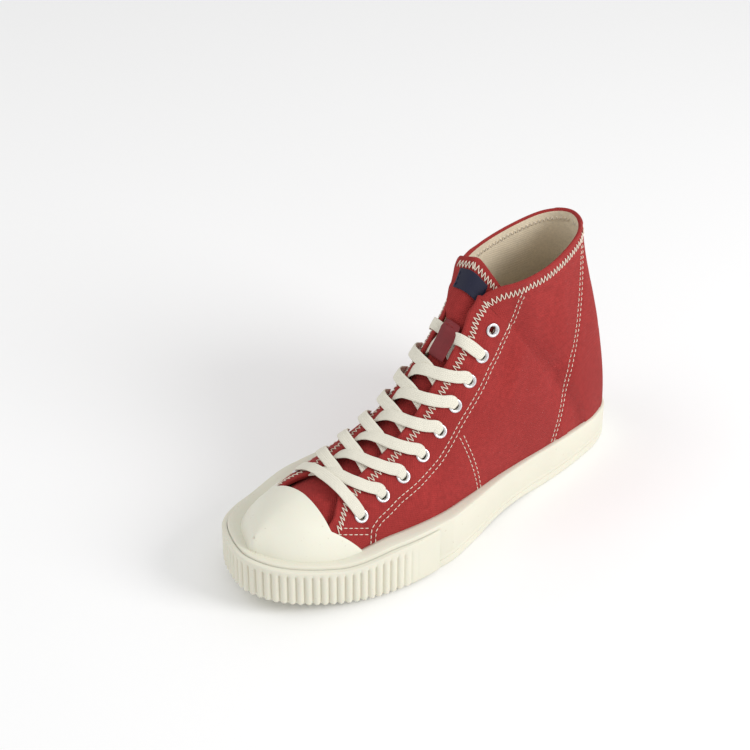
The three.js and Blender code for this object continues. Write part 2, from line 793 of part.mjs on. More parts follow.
// The tongue has slid to the outer side: high up, its inner edge shows in the throat
function tongueReach(k, side) {
  if (side > 0) {
    return mix(TONGUE_HALF_WIDTH, TONGUE_TOP_HALF_WIDTH, ease(COLLAR_ROW - 3, COLLAR_ROW, k));
  }
  const tucked = ease(COLLAR_ROW - 2.8, COLLAR_ROW - 1.2, k);
  const flare = TONGUE_INNER_FLARE * ease(COLLAR_ROW - 1.2, COLLAR_ROW + 0.5, k);
  return mix(TONGUE_HALF_WIDTH, TONGUE_INNER_REACH, tucked) + flare;
}

// The free top of the tongue is flatter than the arch of the foot. The place across the crest is
// positive on the outer side.
function tongueLift(k, across) {
  const free = ease(COLLAR_ROW - 1.6, COLLAR_ROW - 0.6, k);
  return TONGUE_FLATTENING * free * Math.max(TONGUE_FOLD - across, 0) ** 2;
}

function makeTongue() {
  const topRow = COLLAR_ROW + TONGUE_RISE / RISE_PER_ROW;
  return crestStrip(FRONT_ROW - 0.5, topRow, TONGUE_ROWS, TONGUE_COLUMNS, tongueReach,
    TONGUE_FACE - TONGUE_THICKNESS, TONGUE_FACE, tongueLift);
}

// Eyelets sit in pairs along the throat, evenly spaced along the crest from the first to the last
const FIRST_EYELET = FRONT_ROW + 1.05;
const LAST_EYELET = COLLAR_ROW - 0.5;

function crestRows(count) {
  const steps = 200;
  const track = [{ k: FIRST_EYELET, travelled: 0 }];
  for (let i = 1; i <= steps; i += 1) {
    const k = mix(FIRST_EYELET, LAST_EYELET, i / steps);
    const before = track[i - 1];
    track.push({ k, travelled: before.travelled + surface(1, k, 1).distanceTo(surface(1, before.k, 1)) });
  }
  const total = track[steps].travelled;
  return Array.from({ length: count }, (_, i) => (
    track.find((entry) => entry.travelled >= (total * i) / (count - 1) - 1e-6).k));
}

const PAIR_ROWS = crestRows(EYELET_PAIRS);

function eyeletPlaces() {
  return PAIR_ROWS.flatMap((k, pair) => [1, -1].map((side) => ({
    side,
    k,
    pair,
    t: fromTop(side, k, throatHalfGap(k) + EYELET_SETBACK),
  })));
}

function turnedTo(place, offset) {
  const matrix = new THREE.Matrix4();
  const normal = outward(place.side, place.k, place.t);
  const turn = new THREE.Quaternion().setFromUnitVectors(new THREE.Vector3(0, 1, 0), normal);
  matrix.compose(skin(place.side, place.k, place.t, offset), turn, new THREE.Vector3(1, 1, 1));
  return matrix;
}

function lathe(points, place, offset, segments) {
  const profile = points.map(([radius, height]) => new THREE.Vector2(radius, height));
  const geometry = new THREE.LatheGeometry(profile, segments);
  geometry.applyMatrix4(turnedTo(place, offset));
  return solidFromGeometry(geometry);
}

function eyeletCut(place) {
  const radius = EYELET_HOLE + EYELET_METAL + GAP;
  const deep = WALL + 4;
  return lathe([[0, -deep], [radius, -deep], [radius, deep], [0, deep]], place, 0, EYELET_SIDES);
}

function makeEyelet(place) {
  const seat = OVERLAY + GAP;
  const foot = -WALL - GAP / 2;
  const barrel = EYELET_HOLE + EYELET_METAL;
  return lathe([
    [EYELET_HOLE, foot], [barrel, foot], [barrel, seat],
    [EYELET_RADIUS, seat], [EYELET_RADIUS, seat + EYELET_FLANGE], [EYELET_HOLE, seat + EYELET_FLANGE],
    [EYELET_HOLE, foot],
  ], place, 0, EYELET_SIDES);
}

// One flat strand through a few places, each with its offset from the upper's surface
function strand(stops) {
  const points = stops.map((stop) => skin(stop.side, stop.k, stop.t, stop.offset));
  const outer = [];
  const inner = [];
  points.forEach((point, i) => {
    const before = points[Math.max(i - 1, 0)];
    const after = points[Math.min(i + 1, points.length - 1)];
    const along = after.clone().sub(before).normalize();
    const up = outward(stops[i].side, stops[i].k, stops[i].t);
    const across = along.clone().cross(up).normalize();
    const facing = across.clone().cross(along).normalize();
    const half = LACE_WIDTH / 2;
    const corner = (width, height) => point.clone()
      .addScaledVector(across, width).addScaledVector(facing, height);
    outer.push([corner(-half, LACE_THICKNESS / 2), corner(half, LACE_THICKNESS / 2)]);
    inner.push([corner(-half, -LACE_THICKNESS / 2), corner(half, -LACE_THICKNESS / 2)]);
  });
  return slab(outer, inner);
}

// Where a strand lies: over the flap it clears the eyelet's flange, in the throat it dips
const OVER_FLAP = OVERLAY + GAP + EYELET_FLANGE + 2 * GAP + LACE_THICKNESS / 2;
const IN_THROAT = -WALL + 0.8 + LACE_THICKNESS / 2;

function throatPlace(k, side, shareOfGap, offset) {
  const t = fromTop(side, k, shareOfGap * throatHalfGap(k));
  return { side, k, t, offset };
}

function flapPlace(k, side, distance, offset) {
  return { side, k, t: fromTop(side, k, throatHalfGap(k) + distance), offset };
}

// In each crossing the strand to the outer side lies on top, and the other one arches up over its
// flap. start is the share of the way between two pairs where a strand leaves the throat.
const CROSSING = [
  { side: 1, start: 0.04, lift: 0.3 * LACE_THICKNESS, arch: GAP },
  { side: -1, start: 0.3, lift: 0, arch: LACE_ARCH },
];

// A strand that rises from the throat beside the far flap and ends over its own eyelet
function risingStrand(pair, { side, start, lift, arch }) {
  const from = mix(PAIR_ROWS[pair - 1], PAIR_ROWS[pair], start);
  const to = PAIR_ROWS[pair];
  return strand([
    throatPlace(from, -side, 0.78, IN_THROAT + 0.35 * lift),
    throatPlace(mix(from, to, 0.24), -side, 0.02, OVERLAY + lift),
    throatPlace(mix(from, to, 0.5), side, 1, OVER_FLAP + arch),
    flapPlace(mix(from, to, 0.76), side, 0.5 * EYELET_SETBACK, OVER_FLAP + arch),
    flapPlace(to, side, EYELET_SETBACK, OVER_FLAP),
  ]);
}

function makeLaceRow(pair) {
  if (pair === 0) {
    const k = PAIR_ROWS[0];
    return strand([
      flapPlace(k, 1, EYELET_SETBACK, OVER_FLAP),
      flapPlace(k, 1, 0.45 * EYELET_SETBACK, OVER_FLAP + 0.5),
      throatPlace(k, 1, 0.6, OVER_FLAP + 1.4),
      throatPlace(k, -1, 0.6, OVER_FLAP + 1.4),
      flapPlace(k, -1, 0.45 * EYELET_SETBACK, OVER_FLAP + 0.5),
      flapPlace(k, -1, EYELET_SETBACK, OVER_FLAP),
    ]);
  }
  return risingStrand(pair, CROSSING[0]).add(risingStrand(pair, CROSSING[1]));
}

function crestRowAt(k, distance) {
  const steps = 60;
  let travelled = 0;
  let last = surface(1, k, 1);
  for (let i = 1; i <= steps; i += 1) {
    const next = k + (i / steps) * 3 * Math.sign(distance);
    const point = surface(1, Math.min(next, COLLAR_ROW), 1);
    travelled += point.distanceTo(last);
    if (travelled >= Math.abs(distance)) return next;
    last = point;
  }
  return k;
}

function makeKeeper() {
  const from = PAIR_ROWS[LACED_PAIRS - 2] - 0.08;
  const to = crestRowAt(from, KEEPER_LENGTH);
  const base = TONGUE_FACE + 2 * GAP;
  const reach = (k, side) => KEEPER_WIDTH / 2 + side * KEEPER_SHIFT;
  return crestStrip(from, to, KEEPER_ROWS, SMALL_STRIP_COLUMNS, reach,
    base, base + KEEPER_THICKNESS, tongueLift);
}

function makeLabel() {
  const to = COLLAR_ROW + (TONGUE_RISE - LABEL_DROP) / RISE_PER_ROW;
  const from = to - LABEL_LENGTH / RISE_PER_ROW;
  const base = TONGUE_FACE + 2 * GAP;
  const reach = (k, side) => LABEL_WIDTH / 2 + side * LABEL_SHIFT;
  return crestStrip(from, to, LABEL_ROWS, SMALL_STRIP_COLUMNS, reach,
    base, base + LABEL_THICKNESS, tongueLift);
}

// The place on one side of the upper at a given x and z
function placeAt(side, x, z) {
  let k = 11.5;
  let t = 0.7;
  for (let i = 0; i < 30; i += 1) {
    const step = 0.01;
    const here = surface(side, k, t);
    const dk = surface(side, k + step, t).sub(here).divideScalar(step);
    const dt = surface(side, k, t + step).sub(here).divideScalar(step);
    const det = dk.x * dt.z - dk.z * dt.x;
    const ex = x - here.x;
    const ez = z - here.z;
    k = THREE.MathUtils.clamp(k + (ex * dt.z - ez * dt.x) / det, 4, LAST_ROW - step);
    t = THREE.MathUtils.clamp(t + (dk.x * ez - dk.z * ex) / det, 0.05, 1 - step);
  }
  return { side, k, t };
}

function makeBadge() {
  const place = (i, j) => {
    const angle = 2 * Math.PI * (j % 1);
    const radius = Math.max(i, 0.02) * (BADGE_DIAMETER / 2);
    return placeAt(-1, BADGE_ALONG + radius * Math.cos(angle), BADGE_HEIGHT + radius * Math.sin(angle));
  };
  const rings = (offset) => [1, 0.55].map((share) => (
    Array.from({ length: BADGE_SPOKES }, (_, j) => {
      const at = place(share, j / BADGE_SPOKES);
      return skin(at.side, at.k, at.t, offset);
    })));
  const middle = place(0, 0);
  const list = [];
  const faces = [
    [rings(BADGE_THICKNESS), BADGE_THICKNESS, 1],
    [rings(BADGE_CLEARANCE), BADGE_CLEARANCE, -1],
  ];
  for (const [[edge, inside], offset, facing] of faces) {
    const centre = skin(middle.side, middle.k, middle.t, offset);
    for (let j = 0; j < BADGE_SPOKES; j += 1) {
      const next = (j + 1) % BADGE_SPOKES;
      const [a, b] = facing > 0 ? [j, next] : [next, j];
      quad(list, edge[a], edge[b], inside[b], inside[a]);
      list.push(inside[a], inside[b], centre);
    }
  }
  for (let j = 0; j < BADGE_SPOKES; j += 1) {
    const next = (j + 1) % BADGE_SPOKES;
    quad(list, faces[1][0][0][j], faces[1][0][0][next], faces[0][0][0][next], faces[0][0][0][j]);
  }
  const solid = solidFrom(list);
  return solid.volume() < 0 ? solidFrom(list.reverse()) : solid;
}

// The shoe

const shoe = new THREE.Group();
shoe.position.x = -ORIGIN_ALONG * SOLE_LENGTH;

const canvas = { color: 0xa83236, roughness: 0.9, metalness: 0 };
const rubber = { color: 0xeae4d4, roughness: 0.55, metalness: 0 };
const cotton = { color: 0xf0eee0, roughness: 0.9, metalness: 0 };
const lining = { color: 0xcdb996, roughness: 0.95, metalness: 0 };
const leather = { color: 0x6e1f29, roughness: 0.6, metalness: 0 };
const woven = { color: 0x15172f, roughness: 0.8, metalness: 0 };
const metal = { color: 0xd9d9dc, roughness: 0.3, metalness: 0.9 };

function place(name, solid, look) {
  const mesh = solid.getMesh();
  const geometry = new THREE.BufferGeometry();
  geometry.setAttribute('position', new THREE.BufferAttribute(Float32Array.from(mesh.vertProperties), 3));
  geometry.setIndex(new THREE.BufferAttribute(Uint32Array.from(mesh.triVerts), 1));
  geometry.computeVertexNormals();
  const piece = new THREE.Mesh(geometry, new THREE.MeshStandardMaterial(look));
  piece.name = name;
  shoe.add(piece);
}

place('outsole', makeOutsole(), rubber);
place('foxing', makeFoxing(), rubber);
place('toe_bumper', makeBand(), rubber);
place('toe_cap', makeToeCap(), rubber);
place('upper', makeUpper(), canvas);
place('insole', makeInsole(), lining);
place('tongue', makeTongue(), canvas);
place('lace_keeper', makeKeeper(), leather);
place('tongue_label', makeLabel(), woven);
place('ankle_badge', makeBadge(), rubber);
for (const at of eyeletPlaces()) {
  const sideName = at.side > 0 ? 'lateral' : 'medial';
  place(`eyelet_${sideName}_${at.pair + 1}`, makeEyelet(at), metal);
}
for (let pair = 0; pair < LACED_PAIRS; pair += 1) {
  place(`lace_row_${pair + 1}`, makeLaceRow(pair), cotton);
}

export default shoe;
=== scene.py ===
"""A canvas high-top sneaker for the left foot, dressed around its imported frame."""

import math

import bmesh
import bpy
import numpy as np
from bpy.props import FloatProperty, FloatVectorProperty, PointerProperty
from mathutils import Matrix, Vector


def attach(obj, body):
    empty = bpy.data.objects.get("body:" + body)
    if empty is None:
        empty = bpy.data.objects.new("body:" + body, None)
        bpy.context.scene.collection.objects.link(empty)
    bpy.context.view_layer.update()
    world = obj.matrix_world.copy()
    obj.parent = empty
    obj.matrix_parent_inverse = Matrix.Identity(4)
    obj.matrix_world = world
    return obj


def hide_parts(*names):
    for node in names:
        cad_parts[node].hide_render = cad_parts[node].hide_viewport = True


bl_info = {
    "name": "Canvas high-top sneaker",
    "version": (1, 0, 0),
    "blender": (4, 5, 0),
    "location": "View3D > Sidebar > Sneaker",
    "description": "Builds a laced canvas high-top sneaker around its frame",
    "category": "Object",
}

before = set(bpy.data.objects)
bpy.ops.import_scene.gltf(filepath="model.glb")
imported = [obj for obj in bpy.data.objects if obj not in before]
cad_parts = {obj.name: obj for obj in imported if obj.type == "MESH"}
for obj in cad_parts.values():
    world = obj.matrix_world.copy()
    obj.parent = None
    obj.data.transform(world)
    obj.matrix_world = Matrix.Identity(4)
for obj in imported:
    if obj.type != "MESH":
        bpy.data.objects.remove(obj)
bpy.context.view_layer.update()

# Driving sizes, in millimetres, as in the part's own source
SOLE_LENGTH = 300
BALL_WIDTH = 108
HEEL_WIDTH = 73
TOE_SPRING = 12.8
ARCH_LIFT = 1.5
OUTSOLE_THICKNESS = 6
FOXING_THICKNESS = 3.6
FOXING_HEEL_HEIGHT = 24
FOXING_BALL_HEIGHT = 35
FOXING_TOE_HEIGHT = 29
BAND_THICKNESS = 3.2
BAND_TOP_STEP = 2.6
RIB_PITCH = 5
RIB_DEPTH = 1.1
TREAD_PITCH = 15
TREAD_GROOVE = 3
TREAD_DEPTH = 1.6
TREAD_BORDER = 9
INSOLE_THICKNESS = 4
TOE_BOX_HEIGHT = 60
INSTEP_HEIGHT = 99
COLLAR_FRONT_HEIGHT = 153
COLLAR_BACK_HEIGHT = 166
COLLAR_LENGTH = 95
COLLAR_WIDTH = 50
COLLAR_CENTRE = 75
COLLAR_SQUARENESS = 2.1
WALL = 2
OVERLAY = 0.8
CAP_THICKNESS = 1.7
CAP_EDGE = 251.5
CAP_SWEEP = 32
THROAT_FRONT_GAP = 26
THROAT_LOW_GAP = 13.5
THROAT_TOP_GAP = 10.5
THROAT_FLARE = 9
TONGUE_THICKNESS = 2.4
TONGUE_HALF_WIDTH = 27
TONGUE_TOP_HALF_WIDTH = 33
TONGUE_INNER_REACH = 8
TONGUE_INNER_FLARE = 8
TONGUE_FLATTENING = 0.016
TONGUE_FOLD = 8
KEEPER_SHIFT = 2
LABEL_SHIFT = 3.5
TONGUE_RISE = 17
TONGUE_CLEARANCE = 1.7
EYELET_PAIRS = 9
LACED_PAIRS = 8
LACE_WIDTH = 7.6
LACE_THICKNESS = 1.3
EYELET_SETBACK = 17.5
EYELET_RADIUS = 4.4
EYELET_HOLE = 2.6
KEEPER_WIDTH = 11.5
KEEPER_LENGTH = 24
KEEPER_THICKNESS = 1.4
LABEL_WIDTH = 25
LABEL_LENGTH = 13
LABEL_DROP = 7.5
LABEL_THICKNESS = 0.6
BADGE_DIAMETER = 50
BADGE_RADIUS = BADGE_DIAMETER / 2
BADGE_THICKNESS = 3
BADGE_ALONG = 82
BADGE_HEIGHT = 119
GAP = 0.3
ORIGIN_ALONG = 0.11
BAND_FULL_ROW = 5
BAND_END_ROW = 6.5
BAND_END_SHARE = 0.4
LAST_ROW = 16
COLLAR_ROW = 12
OUTLINE_ROWS = 2 * LAST_ROW
CREST_Y = 0.028 * BALL_WIDTH
COLLAR_HANG = 0.24 * COLLAR_BACK_HEIGHT

# One row for each section of the last from toe tip to heel tip. A row with a turn has its top
# on the collar loop, at that angle from its front; the others have it on the crest of the foot.
BALL, HEEL = BALL_WIDTH, HEEL_WIDTH
TOE, INSTEP, ANKLE = TOE_BOX_HEIGHT, INSTEP_HEIGHT, COLLAR_FRONT_HEIGHT
SECTION_COLUMNS = ("along", "width", "lateral", "medial", "crest", "rise", "of", "wall", "bulge",
                   "shoulder", "turn")
SECTION_ROWS = [
    (1.002, BALL, 0.030, -0.030, 0.960, 0.78, TOE, 0.36, 0.000, 0.000, None),
    (0.988, BALL, 0.158, 0.135, 0.952, 0.81, TOE, 0.40, 0.000, 0.070, None),
    (0.955, BALL, 0.262, 0.300, 0.928, 0.88, TOE, 0.46, 0.000, 0.140, None),
    (0.900, BALL, 0.358, 0.405, 0.886, 0.96, TOE, 0.50, 0.000, 0.200, None),
    (0.830, BALL, 0.446, 0.465, 0.833, 1.00, TOE, 0.54, 0.000, 0.220, None),
    (0.750, BALL, 0.506, 0.492, 0.777, 1.05, TOE, 0.58, 0.010, 0.220, None),
    (0.670, BALL, 0.530, 0.478, 0.717, 0.69, INSTEP, 0.60, 0.020, 0.200, None),
    (0.590, BALL, 0.517, 0.432, 0.650, 0.765, INSTEP, 0.60, 0.020, 0.205, None),
    (0.500, BALL, 0.463, 0.364, 0.590, 0.875, INSTEP, 0.58, 0.030, 0.220, None),
    (0.410, BALL, 0.403, 0.318, 0.540, 1.02, INSTEP, 0.56, 0.040, 0.240, None),
    (0.330, HEEL, 0.552, 0.455, 0.490, 0.762, ANKLE, 0.54, 0.050, 0.260, None),
    (0.260, HEEL, 0.537, 0.473, 0.447, 0.876, ANKLE, 0.50, 0.070, 0.260, None),
    (0.200, HEEL, 0.518, 0.490, None, None, None, 0.46, 0.070, 0.240, 0),
    (0.140, HEEL, 0.484, 0.482, None, None, None, 0.42, 0.090, 0.020, 50),
    (0.080, HEEL, 0.428, 0.425, None, None, None, 0.40, 0.110, 0.020, 90),
    (0.028, HEEL, 0.300, 0.300, None, None, None, 0.38, 0.115, 0.020, 138),
    (0.000, HEEL, 0.000, 0.000, None, None, None, 0.36, 0.110, 0.000, 180),
]
SECTIONS = [dict(zip(SECTION_COLUMNS, row)) for row in SECTION_ROWS]
FOXING_ALONG = (0.00, 0.30, 0.64, 0.72, 0.86, 1.01)
FOXING_HEIGHT = (FOXING_HEEL_HEIGHT, 0.6 * FOXING_HEEL_HEIGHT + 0.4 * FOXING_BALL_HEIGHT,
                 FOXING_BALL_HEIGHT, FOXING_BALL_HEIGHT, FOXING_TOE_HEIGHT, FOXING_TOE_HEIGHT)


def mix(a, b, share):
    return a + (b - a) * share


def ease(low, high, value):
    share = np.clip((np.asarray(value, float) - low) / (high - low), 0, 1)
    return share * share * (3 - 2 * share)


def signed_power(value, exponent):
    return np.sign(value) * np.abs(value) ** exponent


def unit(vectors):
    return vectors / np.maximum(np.linalg.norm(vectors, axis=-1, keepdims=True), 1e-9)


def run_along(points):
    """The distance of each point along its path."""
    steps = np.linalg.norm(np.diff(points, axis=0), axis=1)
    return np.concatenate([[0], np.cumsum(steps)])


def spline(points, closed, at):
    """A Catmull-Rom curve through the points, read at shares of its length in rows."""
    points = np.asarray(points, float)
    count = len(points)
    at = np.asarray(at, float)
    if closed:
        place = (at % 1.0) * count
        start = np.floor(place).astype(int)
        a, b, c, d = (points[(start + step) % count] for step in (-1, 0, 1, 2))
    else:
        place = np.clip(at, 0, 1) * (count - 1)
        start = np.minimum(np.floor(place).astype(int), count - 2)
        longer = np.vstack([2 * points[0] - points[1], points, 2 * points[-1] - points[-2]])
        a, b, c, d = (longer[start + step] for step in (0, 1, 2, 3))
    w = (place - start)[..., None]
    leave, arrive = (c - a) / 2, (d - b) / 2
    return (b + leave * w + (-3 * b + 3 * c - 2 * leave - arrive) * w ** 2
            + (2 * b - 2 * c + leave + arrive) * w ** 3)


def toe_spring(x):
    return TOE_SPRING * np.clip((np.asarray(x) / SOLE_LENGTH - 0.72) / 0.28, 0, 1) ** 2


def arch_lift(x):
    share = np.asarray(x) / SOLE_LENGTH
    return ARCH_LIFT * ease(0.28, 0.36, share) * (1 - ease(0.44, 0.52, share))


def outsole_top(x):
    return toe_spring(x) + OUTSOLE_THICKNESS


def foxing_top(x):
    share = np.asarray(x, float) / SOLE_LENGTH
    height = np.full(share.shape, float(FOXING_HEIGHT[0]))
    for low in range(len(FOXING_ALONG) - 1):
        rising = ease(FOXING_ALONG[low], FOXING_ALONG[low + 1], share)
        height = height + (FOXING_HEIGHT[low + 1] - FOXING_HEIGHT[low]) * rising
    return toe_spring(x) + height


OUTLINE = ([(row["along"] * SOLE_LENGTH, row["lateral"] * row["width"]) for row in SECTIONS]
           + [(row["along"] * SOLE_LENGTH, -row["medial"] * row["width"])
              for row in SECTIONS[LAST_ROW - 1:0:-1]])


def outline(side, k, inset=0.0):
    """The sole's outline beside row k of one side, moved inwards."""
    k = np.asarray(k, float)
    share = (k if side > 0 else OUTLINE_ROWS - k) / OUTLINE_ROWS
    point = spline(OUTLINE, True, share)
    along = unit(spline(OUTLINE, True, share + 0.002) - spline(OUTLINE, True, share - 0.002))
    return np.stack([point[..., 0] - along[..., 1] * inset,
                     point[..., 1] + along[..., 0] * inset], -1)


def band_share(k):
    k = np.asarray(k, float)
    run = np.maximum(k - BAND_FULL_ROW, 0) / (BAND_END_ROW - BAND_FULL_ROW)
    past = BAND_END_SHARE * np.maximum(1 - 2 * (k - BAND_END_ROW), 0)
    return np.where(k <= BAND_END_ROW, mix(1, BAND_END_SHARE, run), past)


def side_inset(k):
    return (BAND_THICKNESS + GAP) * band_share(k)


def collar_point(turn, side):
    angle = math.radians(turn)
    forward = signed_power(math.cos(angle), 2 / COLLAR_SQUARENESS)
    across = signed_power(math.sin(angle), 2 / COLLAR_SQUARENESS)
    middle = (COLLAR_FRONT_HEIGHT + COLLAR_BACK_HEIGHT) / 2 - 3
    slope = (COLLAR_FRONT_HEIGHT - COLLAR_BACK_HEIGHT) / 2
    return np.array([COLLAR_CENTRE + COLLAR_LENGTH / 2 * forward,
                     side * COLLAR_WIDTH / 2 * across + CREST_Y * float(ease(-1, 1, forward)) * 0.5,
                     middle + slope * forward + 3 * forward * forward])


def control_points(side, row, k):
    inset = FOXING_THICKNESS + float(side_inset(k))
    foot = np.append(outline(side, k, inset), 0.0)
    foot[2] = outsole_top(foot[0]) - 3
    on_collar = row["turn"] is not None
    if on_collar:
        top = collar_point(row["turn"], side)
    else:
        top = np.array([row["crest"] * SOLE_LENGTH, CREST_Y, row["rise"] * row["of"]])
    wall = np.append(outline(side, k, inset - row["bulge"] * HEEL_WIDTH), 0.0)
    wall[2] = mix(foot[2], top[2], row["wall"])
    wall[0] = mix(wall[0], top[0], 0.06)
    shoulder = top.copy()
    if on_collar and row["turn"] > 0:
        angle = math.radians(row["turn"])
        shoulder += [math.cos(angle) * row["shoulder"] * BALL_WIDTH - 3,
                     side * math.sin(angle) * row["shoulder"] * BALL_WIDTH, -COLLAR_HANG]
    else:
        fall = 0.04 if on_collar else 0.02
        shoulder = mix(shoulder, np.array([foot[0], top[1], foot[2]]), fall)
        shoulder[1] = top[1] + side * row["shoulder"] * BALL_WIDTH
    if k == 0:
        shoulder = top + [4.5, 0, -4]
    return foot, wall, shoulder, top


CONTROLS = {side: [np.array(points) for points in
                   zip(*(control_points(side, row, k) for k, row in enumerate(SECTIONS)))]
            for side in (1, -1)}


def through_rows(side, column, first, k):
    """A curve through one column of control points from a first row on. At both ends it runs on
    into the other side, so that the sides meet smoothly."""
    own, other = CONTROLS[side][column][first:], CONTROLS[-side][column][first:]
    last = len(own) - 1
    points = np.vstack([other[1], own, other[last - 1]])
    return spline(points, False, (np.clip(k - first, 0, last) + 1) / (last + 2))


def surface(side, k, t):
    """The upper's surface: row k from toe to heel, t from the sole to the crest or collar."""
    k, t = np.broadcast_arrays(np.asarray(k, float), np.asarray(t, float))
    a, b, c = (through_rows(side, column, 0, k) for column in range(3))
    crest = spline(CONTROLS[side][3][:COLLAR_ROW + 1], False, k / COLLAR_ROW)
    collar = through_rows(side, 3, COLLAR_ROW, k)
    d = np.where((k <= COLLAR_ROW)[..., None], crest, collar)
    t = t[..., None]
    s = 1 - t
    return a * s ** 3 + b * 3 * s * s * t + c * 3 * s * t * t + d * t ** 3


def side_normal(side, k, t):
    along = (surface(side, np.minimum(k + 0.04, LAST_ROW), t)
             - surface(side, np.maximum(k - 0.04, 0), t))
    up = surface(side, k, np.minimum(t + 0.01, 1)) - surface(side, k, np.maximum(t - 0.01, 0))
    return unit(np.cross(along, up) * side)


def outward(side, k, t):
    k, t = np.broadcast_arrays(np.asarray(k, float), np.asarray(t, float))
    on_crest = (t >= 1) & (k <= COLLAR_ROW)
    row = np.where(on_crest, np.maximum(k, 0.3), k)
    normal = side_normal(side, row, t)
    both = unit(normal + side_normal(-side, row, t))
    return np.where((on_crest | (k <= 0) | (k >= LAST_ROW))[..., None], both, normal)


def skin(side, k, t, offset=0.0):
    k, t, offset = np.broadcast_arrays(*(np.asarray(v, float) for v in (k, t, offset)))
    return surface(side, k, t) + outward(side, k, t) * offset[..., None]


ARC_STEPS = 120


def from_top(side, k, distance):
    """The t on row k that lies a distance along the surface from the crest or collar."""
    k, distance = np.broadcast_arrays(np.asarray(k, float), np.asarray(distance, float))
    flat_k, flat_distance = k.ravel(), distance.ravel()
    t = 1 - np.arange(ARC_STEPS + 1) / ARC_STEPS
    line = surface(side, flat_k[:, None], t[None, :])
    run = np.cumsum(np.linalg.norm(np.diff(line, axis=1), axis=-1), axis=1)
    run = np.hstack([np.zeros((len(run), 1)), run])
    found = [np.interp(d, r, t) for d, r in zip(flat_distance, run)]
    return np.array(found).reshape(k.shape)


def row_where(x, read):
    low, high = 0.0, float(COLLAR_ROW)
    for _ in range(40):
        middle = (low + high) / 2
        if read(middle) > x:
            low = middle
        else:
            high = middle
    return (low + high) / 2


FRONT_ROW = row_where(CAP_EDGE, lambda k: surface(1, k, 1)[0])


def throat_half_gap(k):
    k = np.asarray(k, float)
    low = FRONT_ROW + 1.6
    widening = 1 - ease(FRONT_ROW, low, k)
    along = np.clip((k - low) / (COLLAR_ROW - low), 0, 1)
    gap = mix(mix(THROAT_LOW_GAP, THROAT_TOP_GAP, along), THROAT_FRONT_GAP, widening ** 2)
    return gap + THROAT_FLARE * ease(COLLAR_ROW - 0.7, COLLAR_ROW, k) ** 2


RISING = 2 * (surface(1, COLLAR_ROW, 1) - surface(1, COLLAR_ROW - 0.5, 1))
RISE_PER_ROW = float(np.linalg.norm(RISING))
TONGUE_FACE = -WALL - TONGUE_CLEARANCE


def across_crest(k, across, offset):
    """Points on a strip over the crest, at signed distances from it, lateral first."""
    k, across, offset = np.broadcast_arrays(*(np.asarray(v, float) for v in (k, across, offset)))
    kept = np.minimum(k, COLLAR_ROW)
    points = np.zeros(k.shape + (3,))
    for side in (1, -1):
        here = (across > 0) if side > 0 else (across <= 0)
        if here.any():
            t = from_top(side, kept[here], np.abs(across[here]))
            points[here] = skin(side, kept[here], t, offset[here])
    return points + np.maximum(k - COLLAR_ROW, 0)[..., None] * RISING


def pair_rows():
    k = np.linspace(FRONT_ROW + 1.05, COLLAR_ROW - 0.5, 201)
    run = run_along(surface(1, k, 1))
    return np.interp(np.linspace(0, run[-1], EYELET_PAIRS), run, k)


PAIR_ROWS = pair_rows()


# Lines on the upper, read from the shoe: the free edge of the flaps and collar, the eyestay's
# seam, and the seam of the heel strip, each as shares t for rows k

CORNER_FIRST, CORNER_LAST = 11.4, 13.2
CORNER_SHARES = (0.889, 0.867, 0.868, 0.898, 0.962, 0.997, 1.0)
EYESTAY_ROWS = (4.55, 4.79, 5.03, 5.37, 6.21, 6.95, 7.79, 8.85, 9.95, 10.67, 11.33, 11.80, 11.91,
                12.00, 12.10, 12.25, 12.40, 12.60, 12.75, 12.88, 13.10, 13.28, 13.38, 13.60)
EYESTAY_SHARES = (0.10, 0.311, 0.428, 0.465, 0.498, 0.505, 0.518, 0.565, 0.605, 0.634, 0.640,
                  0.641, 0.6441, 0.6484, 0.6569, 0.6751, 0.6982, 0.7338, 0.7613, 0.784, 0.839,
                  0.903, 0.933, 1.0)
HEEL_SEAM_SHARES = (0.05, 0.12, 0.18, 0.24, 0.30, 0.36, 0.42, 0.50, 0.60, 0.70, 0.80, 0.90, 1.0)
HEEL_SEAM_ROWS = (11.17, 11.66, 12.12, 12.53, 12.92, 13.30, 13.63, 14.02, 14.38, 14.65, 14.89,
                  15.14, 15.38)


def read_smooth(at, places, values, spread):
    """Reads a table with its corners rounded over a spread."""
    at = np.asarray(at, float)
    steps = np.linspace(-1, 1, 9)
    weights = 1 - np.abs(steps) * 0.9
    total = sum(np.interp(at + s * spread, places, values) * w for s, w in zip(steps, weights))
    return total / weights.sum()


def edge_share(side, k):
    """The t of the upper's free edge: the cap's front, the throat's flap or the collar."""
    k = np.asarray(k, float)
    narrow = throat_half_gap(np.minimum(k, COLLAR_ROW - 0.8))
    flap = from_top(side, np.minimum(k, COLLAR_ROW), np.where(k < FRONT_ROW - 0.03, 0, narrow))
    corner = spline(np.array(CORNER_SHARES)[:, None], False,
                    (k - CORNER_FIRST) / (CORNER_LAST - CORNER_FIRST))[..., 0]
    share = ease(CORNER_FIRST - 0.5, CORNER_FIRST + 0.2, k)
    return np.where(k >= CORNER_LAST, 1.0, np.where(k < FRONT_ROW - 0.03, 1.0,
                                                    mix(flap, corner, share)))


def low_share(side, k):
    """The t where the rubber sidewall hides the canvas."""
    shares = np.linspace(0, 0.5, 60)
    line = surface(side, np.asarray(k, float)[:, None], shares[None, :])
    above = line[..., 2] > foxing_top(line[..., 0]) - 3
    return shares[np.argmax(above, axis=1)]


def distance_from_top(side, k, t):
    shares = 1 - np.linspace(0, 1, ARC_STEPS + 1)[None, :] * (1 - np.asarray(t)[:, None])
    line = surface(side, np.asarray(k)[:, None], shares)
    return np.linalg.norm(np.diff(line, axis=1), axis=-1).sum(axis=1)


